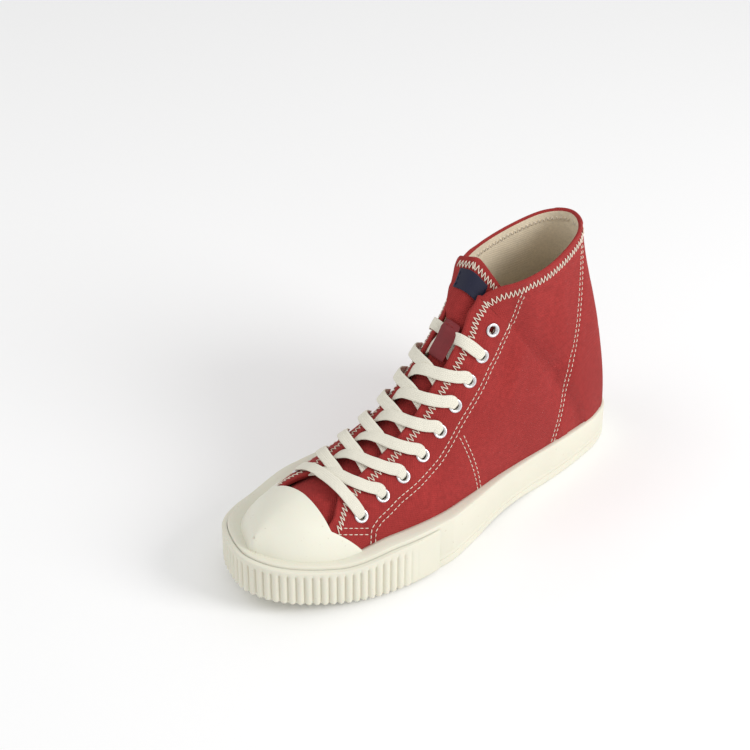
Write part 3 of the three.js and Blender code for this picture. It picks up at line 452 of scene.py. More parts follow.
def below_edge(side, k, distance):
    """The t that lies a distance below the free edge."""
    return from_top(side, k, distance_from_top(side, k, edge_share(side, k)) + distance)


def eyestay_seam(k):
    return read_smooth(k, EYESTAY_ROWS, EYESTAY_SHARES, 0.03 + 0.09 * (np.asarray(k) < 11))


def heel_seam(t):
    return read_smooth(t, HEEL_SEAM_SHARES, HEEL_SEAM_ROWS, 0.03)


# Soft creases of the canvas: side, two ends as x and height over the sole's
# length, width in millimetres and depth (negative is a trough)
CREASES = (
    (1, 0.40, 0.27, 0.315, 0.43, 7.0, -1.35),
    (1, 0.365, 0.25, 0.285, 0.38, 6.0, 1.05),
    (1, 0.255, 0.46, 0.225, 0.30, 8.0, -1.05),
    (1, 0.20, 0.49, 0.185, 0.34, 6.0, 0.90),
    (1, 0.155, 0.30, 0.25, 0.22, 7.0, -1.20),
    (1, 0.50, 0.19, 0.43, 0.23, 6.0, -0.90),
    (1, 0.62, 0.145, 0.56, 0.18, 5.0, -0.75),
    (1, 0.72, 0.13, 0.68, 0.165, 5.0, 0.75),
    (1, 0.10, 0.42, 0.07, 0.28, 8.0, 1.05),
    (-1, 0.40, 0.27, 0.315, 0.43, 7.0, -1.35),
    (-1, 0.255, 0.46, 0.20, 0.26, 8.0, -1.20),
    (-1, 0.155, 0.30, 0.25, 0.20, 7.0, -1.20),
    (-1, 0.50, 0.18, 0.42, 0.23, 6.0, 0.90),
    (-1, 0.64, 0.14, 0.57, 0.18, 5.0, -0.90),
)


def crease_depth(side, points):
    total = np.zeros(points.shape[:-1])
    flat = points[..., [0, 2]] / SOLE_LENGTH
    for which, x0, z0, x1, z1, width, depth in CREASES:
        if which != side:
            continue
        start, run = np.array([x0, z0]), np.array([x1 - x0, z1 - z0])
        along = ((flat - start) @ run) / (run @ run)
        held = np.clip(along, 0, 1)
        bow = 0.012 * np.sin(math.pi * held)
        foot = start + held[..., None] * run + bow[..., None]
        away = np.linalg.norm(flat - foot, axis=-1) * SOLE_LENGTH
        fade = np.sin(math.pi * np.clip(held, 0.08, 0.92))
        total += depth * np.exp(-(away / width) ** 2) * fade
    return total


# Meshes from grids of points, in millimetres

WELD_DISTANCE = 0.02
THREAD_SIDES = 5
THREAD_TIP_SHARE = 0.35
# A direction that no thread runs along, to turn the thread's ring from
THREAD_HINT = np.array([0.31, 0.27, 0.91])


class Sheets:
    """Gathers grids of points, in millimetres, into one mesh."""

    def __init__(self):
        self.points, self.faces, self.uvs, self.slots, self.count = [], [], [], [], 0

    def grid(self, points, uv=None, slot=0, wrap=False, keep=None):
        rows, columns = points.shape[:2]
        index = np.arange(rows * columns).reshape(rows, columns) + self.count
        if wrap:
            index = np.hstack([index, index[:, :1]])
        quads = np.stack([index[:-1, :-1], index[1:, :-1], index[1:, 1:], index[:-1, 1:]], -1)
        if keep is not None:
            quads = quads[keep]
        quads = quads.reshape(-1, 4)
        if uv is None:
            uv = surface_run(points)
        self.points.append(points.reshape(-1, 3))
        self.uvs.append(uv.reshape(-1, 2))
        self.faces.append(quads)
        self.slots.append(np.full(len(quads), slot))
        self.count += rows * columns


def surface_run(points):
    """UVs in millimetres along the two directions of a grid."""
    across = np.linalg.norm(np.diff(points, axis=0), axis=-1)
    along = np.linalg.norm(np.diff(points, axis=1), axis=-1)
    middle = points.shape[1] // 2
    u = np.concatenate([[0], np.cumsum(across[:, middle])])
    v = np.hstack([np.zeros((len(points), 1)), np.cumsum(along, axis=1)])
    v = v - v[:, middle:middle + 1]
    return np.stack([np.broadcast_to(u[:, None], v.shape), v], -1)


def build(name, sheets, materials, nodes):
    """Turns gathered grids into a piece that rides on the shoe and stands for CAD nodes."""
    points = np.vstack(sheets.points) - [ORIGIN_ALONG * SOLE_LENGTH, 0, 0]
    faces = np.vstack(sheets.faces)
    mesh = bpy.data.meshes.new(name)
    mesh.from_pydata((points / 1000).tolist(), [], faces.tolist())
    layer = mesh.uv_layers.new(name="millimetres")
    layer.data.foreach_set("uv", np.vstack(sheets.uvs)[faces.ravel()].ravel().astype(np.float32))
    mesh.polygons.foreach_set("material_index", np.concatenate(sheets.slots).astype(np.int32))
    for material in materials:
        mesh.materials.append(material)
    work = bmesh.new()
    work.from_mesh(mesh)
    bmesh.ops.remove_doubles(work, verts=work.verts, dist=WELD_DISTANCE / 1000)
    bmesh.ops.recalc_face_normals(work, faces=work.faces)
    work.to_mesh(mesh)
    work.free()
    mesh.shade_smooth()
    piece = bpy.data.objects.new(name, mesh)
    bpy.context.scene.collection.objects.link(piece)
    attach(piece, "root")
    if nodes:
        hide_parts(*nodes)


def sole_ring(place_on, count=640):
    """A closed ring around the shoe from a function of side and row k."""
    place = np.linspace(0, OUTLINE_ROWS, count, endpoint=False)
    k = np.where(place <= LAST_ROW, place, OUTLINE_ROWS - place)
    return np.where((place <= LAST_ROW)[:, None], place_on(1, k), place_on(-1, k))


def ring_wall(sheets, insets, heights):
    """A wall around the whole sole through rings of given inset and height."""
    rings = []
    for inset_at, height_at in zip(insets, heights):
        flat = sole_ring(lambda side, k: outline(side, k, inset_at(k)))
        rings.append(np.column_stack([flat, height_at(flat[:, 0])]))
    sheets.grid(np.array(rings), wrap=True)
    return rings


def lid(sheets, inset_at, height_at, rows, columns, relief=None):
    """A flat face across the shoe between the two halves of its outline."""
    k = np.linspace(0, LAST_ROW, rows)
    lateral, medial = outline(1, k, inset_at(k)), outline(-1, k, inset_at(k))
    share = np.linspace(0, 1, columns)[None, :, None]
    flat = lateral[:, None, :] * (1 - share) + medial[:, None, :] * share
    height = height_at(flat[..., 0])
    if relief is not None:
        height = height + relief(flat, lateral[:, None, 1], medial[:, None, 1])
    sheets.grid(np.dstack([flat, height]))


def tube(sheets, path, radius):
    """A thin round thread through a short path."""
    path = np.asarray(path, float)
    along = unit(np.gradient(path, axis=0))
    across = unit(np.cross(along, THREAD_HINT))
    up = np.cross(across, along)
    turn = np.linspace(0, 2 * math.pi, THREAD_SIDES, endpoint=False)
    width = np.full(len(path), radius)
    width[[0, -1]] *= THREAD_TIP_SHARE
    ring = (np.cos(turn)[None, :, None] * across[:, None]
            + np.sin(turn)[None, :, None] * up[:, None])
    sheets.grid(path[:, None] + ring * width[:, None, None], wrap=True)


# Pieces of the sole

HEEL_TREAD = (0.05, 0.25)
FOREFOOT_TREAD = (0.54, 0.90)
TREAD_BEVEL = 0.4
TAPE_LAP = 3.5
RIM_RISE = 0.15
LIP_DROP = 4
RIB_STEPS = 11
RIB_RELIEF = 2.0 * RIB_DEPTH
BAND_FOOT = 1.2
RIB_SCALLOP = 1.6


def inset(more):
    """How far in a ring of the sole lies, as a function of row k."""
    return lambda k: side_inset(k) + more


def make_outsole(look):
    sheets = Sheets()

    def under(x):
        return toe_spring(x) + arch_lift(x)
    ring_wall(sheets, [inset(1.2), inset(0.35), inset(0), inset(0), inset(0.5), inset(2.5)],
              [under, lambda x: under(x) + 0.35, lambda x: under(x) + 1.2,
               lambda x: outsole_top(x) - 0.5, outsole_top, outsole_top])

    def grooves(flat, lateral, medial):
        x, y = flat[..., 0], flat[..., 1]
        share = x / SOLE_LENGTH
        inside = (y < lateral - TREAD_BORDER) & (y > medial + TREAD_BORDER)
        heel = (share > HEEL_TREAD[0]) & (share < HEEL_TREAD[1])
        zone = heel | ((share > FOREFOOT_TREAD[0]) & (share < FOREFOOT_TREAD[1]))
        start = np.where(share < 0.4, HEEL_TREAD[0], FOREFOOT_TREAD[0]) * SOLE_LENGTH
        away = np.abs((x - start + TREAD_PITCH / 2) % TREAD_PITCH - TREAD_PITCH / 2)
        return TREAD_DEPTH * (inside & zone) * (1 - ease(TREAD_GROOVE / 2 - TREAD_BEVEL,
                                                         TREAD_GROOVE / 2 + TREAD_BEVEL, away))
    lid(sheets, inset(1.2), under, rows=520, columns=40, relief=grooves)
    lid(sheets, inset(2.5), outsole_top, rows=80, columns=6)
    build("outsole_rubber", sheets, [look["rubber"]], ["outsole"])


def make_foxing(look):
    sheets = Sheets()

    def base(x):
        return outsole_top(x) + 0.05
    # A shallow line near the bottom is where the foxing tape laps the outsole
    wall = ring_wall(sheets,
                     [inset(2.5), inset(0.7), inset(0.15), inset(0), inset(0), inset(0.12),
                      inset(0), inset(0), inset(0.25), inset(0.9)],
                     [base, base, lambda x: base(x) + 0.3, lambda x: base(x) + 0.9,
                      lambda x: base(x) + TAPE_LAP - 0.3, lambda x: base(x) + TAPE_LAP,
                      lambda x: base(x) + TAPE_LAP + 0.3,
                      lambda x: foxing_top(x) - 1.1, lambda x: foxing_top(x) - 0.35, foxing_top])
    # From its rim the rubber runs level up to the canvas, and a little way down behind it
    rim = wall[-1]
    meeting = sole_ring(foxing_meeting)
    rows = [mix(rim, meeting, share) + [0, 0, RIM_RISE * math.sin(math.pi * share)]
            for share in (0, 0.3, 0.7, 1.0)]
    sheets.grid(np.array(rows + [meeting - [0, 0, LIP_DROP]]), wrap=True)
    build("foxing_rubber", sheets, [look["rubber"]], ["foxing"])


def foxing_meeting(side, k):
    """Where the top of the sidewall meets the upper, a little inside its face."""
    low, high = np.zeros_like(k), np.full_like(k, 0.6)
    for _ in range(30):
        middle = (low + high) / 2
        point = surface(side, k, middle)
        under = point[:, 2] < foxing_top(point[:, 0])
        low, high = np.where(under, middle, low), np.where(under, high, middle)
    point = skin(side, k, low, -0.6)
    point[:, 2] = foxing_top(point[:, 0]) + 0.1
    return point


def make_toe_bumper(look):
    sheets = Sheets()
    fine = np.linspace(BAND_END_ROW, -BAND_END_ROW, 1601)
    track = np.where((fine >= 0)[:, None], outline(1, np.abs(fine)), outline(-1, np.abs(fine)))
    run = run_along(track)
    ribs = round(run[-1] / RIB_PITCH)
    distance = np.linspace(0, run[-1], ribs * RIB_STEPS + 1)
    place = np.interp(distance, run, fine)
    k = np.abs(place)
    phase = (distance / run[-1] * ribs + 0.5) % 1 * 2 - 1
    swell = np.sqrt(np.maximum(1 - phase ** 2, 0))
    shown = 1 - ease(BAND_FULL_ROW, BAND_END_ROW - 0.6, k)
    flat_x = np.where(place >= 0, outline(1, k)[:, 0], outline(-1, k)[:, 0])
    low = toe_spring(flat_x) + BAND_FOOT + RIB_SCALLOP * (1 - swell) * shown
    high = foxing_top(flat_x) - BAND_TOP_STEP

    def ring(inset, z):
        flat = np.where((place >= 0)[:, None], outline(1, k, inset), outline(-1, k, inset))
        return np.column_stack([flat, z])
    valley = RIB_RELIEF * (1 - swell) * shown
    rows = [ring(side_inset(k) - GAP, low), ring(valley + 1.2, low), ring(valley + 0.35, low + 0.5)]
    for share in np.linspace(0, 1, 12):
        fade = 1 - ease(0.84, 0.93, share)
        rows.append(ring(0.15 + valley * fade, mix(low + 1.3, high - 1.0, share)))
    rows += [ring(0.4, high - 0.3), ring(1.0, high), ring(side_inset(k) - GAP, high)]
    sheets.grid(np.array(rows))
    build("toe_bumper_rubber", sheets, [look["rubber"]], ["toe_bumper"])


def cap_line(y):
    """Where the cap's rear edge lies: straight over the crest and swept back at the sides."""
    out = np.abs(y - CREST_Y)
    return CAP_EDGE - CAP_SWEEP * np.clip((out - THROAT_FRONT_GAP)
                                          / (BALL_WIDTH / 2 - THROAT_FRONT_GAP), 0, 1)


CAP_ROWS = 60
# The cap's rear edge rounds over: shares of its length, and of its thickness there
CAP_EDGE_SHARES = (0.992, 0.997, 1.0, 1.0, 0.985)
CAP_EDGE_LIFTS = (0.93, 0.8, 0.5, 0.05, -0.1)


def make_toe_cap(look):
    sheets = Sheets()
    for side in (1, -1):
        t = np.linspace(0.0, 1.0, 70)
        low, high = np.zeros_like(t), np.full_like(t, 8.0)
        for _ in range(30):
            middle = (low + high) / 2
            point = skin(side, middle, t, CAP_THICKNESS)
            inside = point[:, 0] > cap_line(point[:, 1])
            low, high = np.where(inside, middle, low), np.where(inside, high, middle)
        share = np.concatenate([np.linspace(0, 0.985, CAP_ROWS), CAP_EDGE_SHARES])
        lift = np.concatenate([np.full(CAP_ROWS, 1.0), CAP_EDGE_LIFTS])
        sheets.grid(skin(side, share[:, None] * high[None, :], t[None, :],
                         lift[:, None] * CAP_THICKNESS))
    build("toe_cap_rubber", sheets, [look["cap"]], ["toe_cap"])


def make_insole(look):
    sheets = Sheets()

    def low(x):
        return outsole_top(x) + GAP
    top, edge = INSOLE_THICKNESS, FOXING_THICKNESS + WALL + 0.4
    ring_wall(sheets, [inset(edge), inset(edge), inset(edge + 0.4), inset(edge + 1.4)],
              [low, lambda x: low(x) + top - 1, lambda x: low(x) + top - 0.3,
               lambda x: low(x) + top])
    lid(sheets, inset(edge + 1.4), lambda x: low(x) + top, rows=90, columns=24)
    lid(sheets, inset(edge), low, rows=60, columns=6)
    build("insole_textile", sheets, [look["insole"]], ["insole"])


# The upper

SEAM_STEP = 0.004
HEEL_STEP = 0.035
EYESTAY_END = 13.6
EYELET_CUT = EYELET_HOLE + 0.7
ROLL_REACH = 3.2
ROLL_SWELL = 0.35
EDGE_BULGE = 1.2
EDGE_SPREAD = 0.25
LINING_SINK_SHARE = 0.8


def eyelet_places():
    return [(side, k, float(from_top(side, k, throat_half_gap(k) + EYELET_SETBACK)))
            for k in PAIR_ROWS for side in (1, -1)]


def upper_grid(side, columns, rows):
    """Places on the upper: columns of k, each with rows of t that follow edge and seam."""
    k = np.concatenate([np.linspace(0, FRONT_ROW - 0.08, 24)[:-1],
                        [FRONT_ROW - 0.05, FRONT_ROW - 0.02],
                        np.linspace(FRONT_ROW, LAST_ROW, columns)])
    edge = edge_share(side, k)
    low = low_share(side, k)
    seam = np.clip(eyestay_seam(k), low + 0.02, edge - 0.03)
    shares = [np.linspace(0, 1, 4)[None, :-1] * low[:, None],
              mix(low[:, None], seam[:, None] - SEAM_STEP, np.linspace(0, 1, rows)[None, :]),
              mix(seam[:, None] - SEAM_STEP, seam[:, None] + SEAM_STEP,
                  np.array([[0.33, 0.67]])),
              mix(seam[:, None] + SEAM_STEP, edge[:, None],
                  np.linspace(0, 1, rows)[None, :] ** 0.9)]
    return k, np.hstack(shares), edge


def upper_relief(side, k, t):
    """How far the outer face stands from the wall: overlays and creases."""
    points = surface(side, k, t)
    eyestay = ease(-SEAM_STEP, SEAM_STEP, t - eyestay_seam(k))
    eyestay = eyestay * (1 - ease(EYESTAY_END - 0.2, EYESTAY_END, k))
    eyestay = eyestay * ease(FRONT_ROW + 0.1, FRONT_ROW + 0.35, k)
    heel = ease(-HEEL_STEP, HEEL_STEP, k - heel_seam(t))
    shown = points[..., 2] > foxing_top(points[..., 0]) + 1
    capped = points[..., 0] > cap_line(points[..., 1]) - 1
    creases = crease_depth(side, points)
    return np.where(capped | ~shown, 0, OVERLAY * np.maximum(eyestay, heel) + creases)


def make_upper(look):
    sheets = Sheets()
    holes = np.array([skin(side, k, t, 0) for side, k, t in eyelet_places()])

    def clear_of_holes(points):
        centre = (points[:-1, :-1] + points[1:, 1:]) / 2
        away = np.linalg.norm(centre[:, :, None] - holes[None, None], axis=-1).min(axis=-1)
        return away > EYELET_CUT
    for side in (1, -1):
        k, t, edge = upper_grid(side, 300, 40)
        kk = np.broadcast_to(k[:, None], t.shape)
        below = distance_along(side, kk, t)
        relief = upper_relief(side, kk, t)
        rolled = np.where(kk > FRONT_ROW, (1 - ease(0, ROLL_REACH, below)) * ROLL_SWELL, 0)
        outer = skin(side, kk, t, relief + rolled)
        sheets.grid(outer, slot=0, keep=clear_of_holes(outer))
        k2, t2, _ = upper_grid(side, 200, 20)
        kk2 = np.broadcast_to(k2[:, None], t2.shape)
        t2 = np.minimum(t2, edge_share(side, k2)[:, None])
        sink = crease_depth(side, surface(side, kk2, t2)) * LINING_SINK_SHARE
        inner = skin(side, kk2, t2, -WALL + sink)
        sheets.grid(inner, slot=1, keep=clear_of_holes(inner))
        # The rolled edge between the outer face and the lining
        start = np.searchsorted(k, FRONT_ROW - 0.001)
        ks, ts = k[start:], edge[start:]
        outside, inside = outer[start:, -1], skin(side, ks, ts, -WALL)
        up = unit(surface(side, ks, ts) - surface(side, ks, ts - 0.02))
        out = outward(side, ks, ts)
        rows = []
        for share in np.linspace(0, 1, 7):
            lean = math.sin(math.pi * share)
            rows.append(mix(outside, inside, share) + up * EDGE_BULGE * lean
                        + out * EDGE_SPREAD * lean)
        sheets.grid(np.array(rows), slot=0)
    build("upper_canvas", sheets, [look["canvas"], look["lining"]], ["upper"])


def distance_along(side, k, t):
    """Distance below the last t of each column, along the surface."""
    line = surface(side, k, t)
    run = np.linalg.norm(np.diff(line, axis=1), axis=-1)
    total = np.cumsum(run[:, ::-1], axis=1)[:, ::-1]
    return np.hstack([total, np.zeros((len(total), 1))])


# Stitches. Seams have rows of them, in millimetres beside their line.

EYESTAY_SHIFTS = (1.7, -1.7)
HEEL_SHIFTS = (1.2, 4.4)
SIDE_SHIFTS = (0, 3.2)
CAP_SHIFTS = (-1.5, 2.2)
SIDE_SEAM_ROW = 8.6
SIDE_SEAM_LEAN = 0.9
CAP_SEAM_ROWS, CAP_SEAM_SHARES = (4.0, 5.0), (0.56, 0.43)
THREAD_STAND = 0.1
SEAM_STAND = 0.05
# How far a stitch's ends sink and its middle stands, and how a zigzag's does
STITCH_LIFTS = (-0.15, 0.25, 0.25, -0.15)
ZIGZAG_SHARES = (0.02, 0.2, 0.8, 0.98)
ZIGZAG_LIFTS = (-0.1, 0.3, 0.3, -0.1)
ZIGZAG_BELOW = 5.6
ZIGZAG_REACH = 2.5
LINING_ZIGZAG_REACH = 1.6
TONGUE_ZIGZAG_BELOW = 4.6
TONGUE_ZIGZAG_REACH = 2.4


def even_path(points, pitch):
    """Shares of a path's samples that lie one pitch apart."""
    run = run_along(points)
    count = max(int(run[-1] / pitch), 1)
    return np.interp(np.arange(count + 1) * pitch, run, np.arange(len(points)))


def read_rows(values, at):
    low = np.clip(np.floor(at).astype(int), 0, len(values) - 2)
    share = (at - low)
    while share.ndim < values[low].ndim:
        share = share[..., None]
    return values[low] * (1 - share) + values[low + 1] * share


def beside(side, k, t, shift):
    """The places (k, t) that lie a distance beside a line on the surface."""
    step = 0.01
    here = surface(side, k, t)
    per_k = (surface(side, k + step, t) - here) / step
    per_t = (surface(side, k, t + step) - here) / step
    across = np.cross(unit(np.gradient(here, axis=0)), outward(side, k, t)) * shift
    kk, kt, tt = [(a * b).sum(1) for a, b in ((per_k, per_k), (per_k, per_t), (per_t, per_t))]
    to_k, to_t = (across * per_k).sum(1), (across * per_t).sum(1)
    scale = kk * tt - kt * kt
    return k + (to_k * tt - to_t * kt) / scale, t + (to_t * kk - to_k * kt) / scale


def under_badge(point):
    away = math.hypot(point[0, 0] - BADGE_ALONG, point[0, 2] - BADGE_HEIGHT)
    return away < BADGE_RADIUS + 1


def stitch_line(sheets, side, k, t, shift, sizes):
    """A row of short stitches beside the places (k, t), on whatever layer lies there."""
    k, t = beside(side, k, t, shift)
    points = skin(side, k, t, upper_relief(side, k, t) + SEAM_STAND)
    normal = outward(side, k, t)
    at = even_path(points, sizes.stitch_length + sizes.stitch_gap)
    run = run_along(points)
    first = np.interp(at, np.arange(len(points)), run)
    lift = np.array(STITCH_LIFTS)[:, None]
    for begin in first[:-1]:
        foot = read_rows(points, np.interp([begin], run, np.arange(len(points))))
        if side < 0 and under_badge(foot):
            continue
        reach = begin + sizes.stitch_length * np.linspace(0, 1, len(STITCH_LIFTS))
        samples = np.interp(reach, run, np.arange(len(points)))
        middle = read_rows(points, samples)
        tube(sheets, middle + read_rows(normal, samples) * lift, sizes.thread_width / 2)


def zigzag(sheets, points, normal, up, swing, sizes):
    """Slanted stitches that run to and fro between two lines beside a path."""
    at = even_path(points, sizes.zigzag_pitch / 2)
    base, out, rise = read_rows(points, at), read_rows(normal, at), read_rows(up, at)
    reach = np.where(np.arange(len(at)) % 2 == 0, -swing, swing)[:, None]
    ends = base + rise * reach
    share = np.array(ZIGZAG_SHARES)[:, None]
    lift = np.array(ZIGZAG_LIFTS)[:, None]
    for i in range(len(at) - 1):
        line = ends[i] * (1 - share) + ends[i + 1] * share + out[i] * lift
        tube(sheets, line, sizes.thread_width / 2)


def make_seams(look, sizes):
    sheets = Sheets()
    for side in (1, -1):
        k = np.linspace(4.74, 13.42, 500)
        t = eyestay_seam(k)
        for shift in EYESTAY_SHIFTS:
            stitch_line(sheets, side, k, t, shift, sizes)
        t = np.linspace(0.12, 0.96, 400)
        for shift in HEEL_SHIFTS:
            stitch_line(sheets, side, heel_seam(t), t, -shift * side, sizes)
        # A plain side seam from the eyestay down to the rubber, and a short one at the cap
        t = np.linspace(0.13, 0.53, 200)
        for shift in SIDE_SHIFTS:
            row = SIDE_SEAM_ROW + SIDE_SEAM_LEAN * (t - 0.5)
            stitch_line(sheets, side, row, t, shift, sizes)
        k = np.linspace(4.08, 4.95, 60)
        t = np.interp(k, CAP_SEAM_ROWS, CAP_SEAM_SHARES)
        for shift in CAP_SHIFTS:
            stitch_line(sheets, side, k, t, shift, sizes)
    build("seam_stitches", sheets, [look["thread"]], [])


def make_edge_zigzag(look, sizes):
    sheets = Sheets()
    for side in (1, -1):
        k = np.linspace(FRONT_ROW + 0.16, LAST_ROW - 0.02, 900)
        t = below_edge(side, k, ZIGZAG_BELOW)
        relief = upper_relief(side, k, t)
        points = skin(side, k, t, relief + THREAD_STAND)
        upper = skin(side, k, below_edge(side, k, ZIGZAG_BELOW - 2.0), relief + THREAD_STAND)
        zigzag(sheets, points, outward(side, k, t), unit(upper - points), ZIGZAG_REACH, sizes)
        # The same thread shows on the lining side of the collar
        k = np.linspace(COLLAR_ROW + 0.9, LAST_ROW - 0.02, 400)
        t = below_edge(side, k, ZIGZAG_BELOW)
        high = below_edge(side, k, ZIGZAG_BELOW - 2.0)
        points = skin(side, k, t, -WALL - THREAD_STAND)
        upper = skin(side, k, high, -WALL - THREAD_STAND)
        zigzag(sheets, points, -outward(side, k, t), unit(upper - points), LINING_ZIGZAG_REACH,
               sizes)
    build("edge_zigzag_stitches", sheets, [look["thread"]], [])


# Tongue, keeper, label and badge

FOLD_ROUNDING = 3.5
SPARE_REACH = 9


def round_over(points, spacing):
    """Rounds the crest's fold across a strip, over about 4 mm."""
    for _ in range(int(2 * (FOLD_ROUNDING / spacing) ** 2)):
        points[:, 1:-1] = (points[:, :-2] + 2 * points[:, 1:-1] + points[:, 2:]) / 4
    return points


def strip(sheets, k, half, thick_low, thick_high, columns, round_edge, bulge, centre,
          slots=(0, 0)):
    """A thin strip across the crest with rounded long edges."""
    centre = np.broadcast_to(centre, k.shape)[:, None]
    spacing = 2 * float(half.max()) / (columns - 1)
    spare = round(SPARE_REACH / spacing)
    share = np.arange(-spare, columns + spare) / (columns - 1) * 2 - 1
    kk = np.broadcast_to(k[:, None], (len(k), len(share)))
    across = centre + share[None, :] * half[:, None]
    lift = bulge(kk, across)
    top = round_over(across_crest(kk, across, thick_high + lift), spacing)[:, spare:-spare]
    under = round_over(across_crest(kk, across, thick_low + lift), spacing)[:, spare:-spare]
    sheets.grid(top, slot=slots[0])
    sheets.grid(under, slot=slots[1])

    def rim(outside, inside, away):
        rows = []
        for part in np.linspace(0, 1, 5):
            lean = math.sin(math.pi * part) * round_edge
            rows.append(mix(outside, inside, part) + away * lean)
        sheets.grid(np.array(rows), slot=slots[0])
    rim(top[:, 0], under[:, 0], unit(top[:, 0] - top[:, 1]))
    rim(top[:, -1], under[:, -1], unit(top[:, -1] - top[:, -2]))
    rim(top[0], under[0], unit(top[0] - top[1]))
    rim(top[-1], under[-1], unit(top[-1] - top[-2]))


def tongue_reach(k, side):
    """The tongue has slid to the outer side: high up, its inner edge shows in the throat."""
    if side > 0:
        return mix(TONGUE_HALF_WIDTH, TONGUE_TOP_HALF_WIDTH, ease(COLLAR_ROW - 3, COLLAR_ROW, k))
    tucked = ease(COLLAR_ROW - 2.8, COLLAR_ROW - 1.2, k)
    flare = TONGUE_INNER_FLARE * ease(COLLAR_ROW - 1.2, COLLAR_ROW + 0.5, k)
    return mix(TONGUE_HALF_WIDTH, TONGUE_INNER_REACH, tucked) + flare


def tongue_lift(k, across):
    """The free top of the tongue is flatter than the arch of the foot."""
    free = ease(COLLAR_ROW - 1.6, COLLAR_ROW - 0.6, k)
    return TONGUE_FLATTENING * free * np.maximum(TONGUE_FOLD - across, 0) ** 2


TONGUE_TOP = COLLAR_ROW + TONGUE_RISE / RISE_PER_ROW
WAVE_HEIGHT = 0.35
CURL = 1.2


def tongue_wave(k, across):
    """Soft waves of the tongue between the laces and a slight curl at its top."""
    waves = WAVE_HEIGHT * np.sin(k * 5.1 + across * 0.05) * ease(FRONT_ROW + 1, FRONT_ROW + 2, k)
    curl = CURL * ease(COLLAR_ROW, TONGUE_TOP, k) * (across / TONGUE_TOP_HALF_WIDTH) ** 2
    return waves - np.abs(waves) - curl + tongue_lift(k, across)


def make_tongue(look, sizes):
    sheets = Sheets()
    k = np.linspace(FRONT_ROW - 0.5, TONGUE_TOP, 130)
    corner = 1 - 0.05 * ease(TONGUE_TOP - 0.16, TONGUE_TOP, k) ** 3
    outer, inner = tongue_reach(k, 1), tongue_reach(k, -1)
    strip(sheets, k, (outer + inner) / 2 * corner, TONGUE_FACE - TONGUE_THICKNESS, TONGUE_FACE,
          slots=(0, 1), columns=46, round_edge=0.8, bulge=tongue_wave, centre=(outer - inner) / 2)
    build("tongue_canvas", sheets, [look["canvas"], look["lining"]], ["tongue"])
    threads = Sheets()
    across = np.linspace(2.5 - float(tongue_reach(TONGUE_TOP, -1)), TONGUE_TOP_HALF_WIDTH - 3, 160)
    row = np.full_like(across, TONGUE_TOP - TONGUE_ZIGZAG_BELOW / RISE_PER_ROW)
    above = row + 2 / RISE_PER_ROW
    face = TONGUE_FACE + THREAD_STAND
    points = across_crest(row, across, face + tongue_wave(row, across))
    higher = across_crest(above, across, face + tongue_wave(above, across))
    normal = unit(np.cross(unit(np.gradient(points, axis=0)), unit(higher - points)))
    normal = normal * np.sign(normal[:, :1].mean() or 1)
    zigzag(threads, points, normal, unit(higher - points), TONGUE_ZIGZAG_REACH, sizes)
    build("tongue_zigzag_stitches", threads, [look["thread"]], [])


def row_after(k, distance):
    fine = np.linspace(k, COLLAR_ROW, 200)
    return float(np.interp(distance, run_along(surface(1, fine, 1)), fine))


KEEPER_FROM = float(PAIR_ROWS[LACED_PAIRS - 2]) - 0.08
KEEPER_TO = row_after(KEEPER_FROM, KEEPER_LENGTH)
LACE_PASS_LIFT = 2.9
KEEPER_STITCH_MARGIN = 2
KEEPER_STITCH_ROWS = 0.12
LABEL_STITCH_MARGIN = 1.1


def keeper_arch(k, across):
    share = (k - KEEPER_FROM) / (KEEPER_TO - KEEPER_FROM)
    arch = LACE_PASS_LIFT * ease(-0.2, 0.15, share) * (1 - 0.75 * ease(0.75, 1.0, share))
    return arch + tongue_lift(k, across)


def make_keeper(look, sizes):
    sheets = Sheets()
    k = np.linspace(KEEPER_FROM, KEEPER_TO, 40)
    base = TONGUE_FACE + 2 * GAP
    strip(sheets, k, np.full_like(k, KEEPER_WIDTH / 2), base, base + KEEPER_THICKNESS, columns=24,
          round_edge=0.5, bulge=keeper_arch, centre=KEEPER_SHIFT)
    build("lace_keeper_leather", sheets, [look["leather"]], ["lace_keeper"])
    threads = Sheets()
    reach = KEEPER_WIDTH / 2 - KEEPER_STITCH_MARGIN
    across = KEEPER_SHIFT + np.linspace(-reach, reach, 40)
    rows = np.full_like(across, KEEPER_TO - KEEPER_STITCH_ROWS)
    dashes(threads, across_crest(rows, across, base + KEEPER_THICKNESS + keeper_arch(rows, across)),
           sizes)
    build("keeper_stitches", threads, [look["red_thread"]], [])


def dashes(sheets, line, sizes):
    run = run_along(line)
    for begin in np.arange(0, run[-1] - sizes.stitch_length, sizes.stitch_length
                           + sizes.stitch_gap):
        reach = begin + sizes.stitch_length * np.linspace(0, 1, 4)
        tube(sheets, read_rows(line, np.interp(reach, run, np.arange(len(line)))),
             sizes.thread_width / 2.4)


def make_label(look, sizes):
    sheets = Sheets()
    last = COLLAR_ROW + (TONGUE_RISE - LABEL_DROP) / RISE_PER_ROW
    first = last - LABEL_LENGTH / RISE_PER_ROW
    k = np.linspace(first, last, 26)
    base = TONGUE_FACE + 2 * GAP
    strip(sheets, k, np.full_like(k, LABEL_WIDTH / 2), base, base + LABEL_THICKNESS, columns=30,
          round_edge=0.15, bulge=tongue_lift, centre=LABEL_SHIFT)
    build("tongue_label_woven", sheets, [look["label"]], ["tongue_label"])
    threads = Sheets()
    face = base + LABEL_THICKNESS
    for side in (-1, 1):
        rows = np.linspace(first + 0.05, last - 0.05, 20)
        across = np.full_like(rows, LABEL_SHIFT + side * (LABEL_WIDTH / 2 - LABEL_STITCH_MARGIN))
        dashes(threads, across_crest(rows, across, face + tongue_lift(rows, across)), sizes)
    build("label_stitches", threads, [look["navy_thread"]], [])


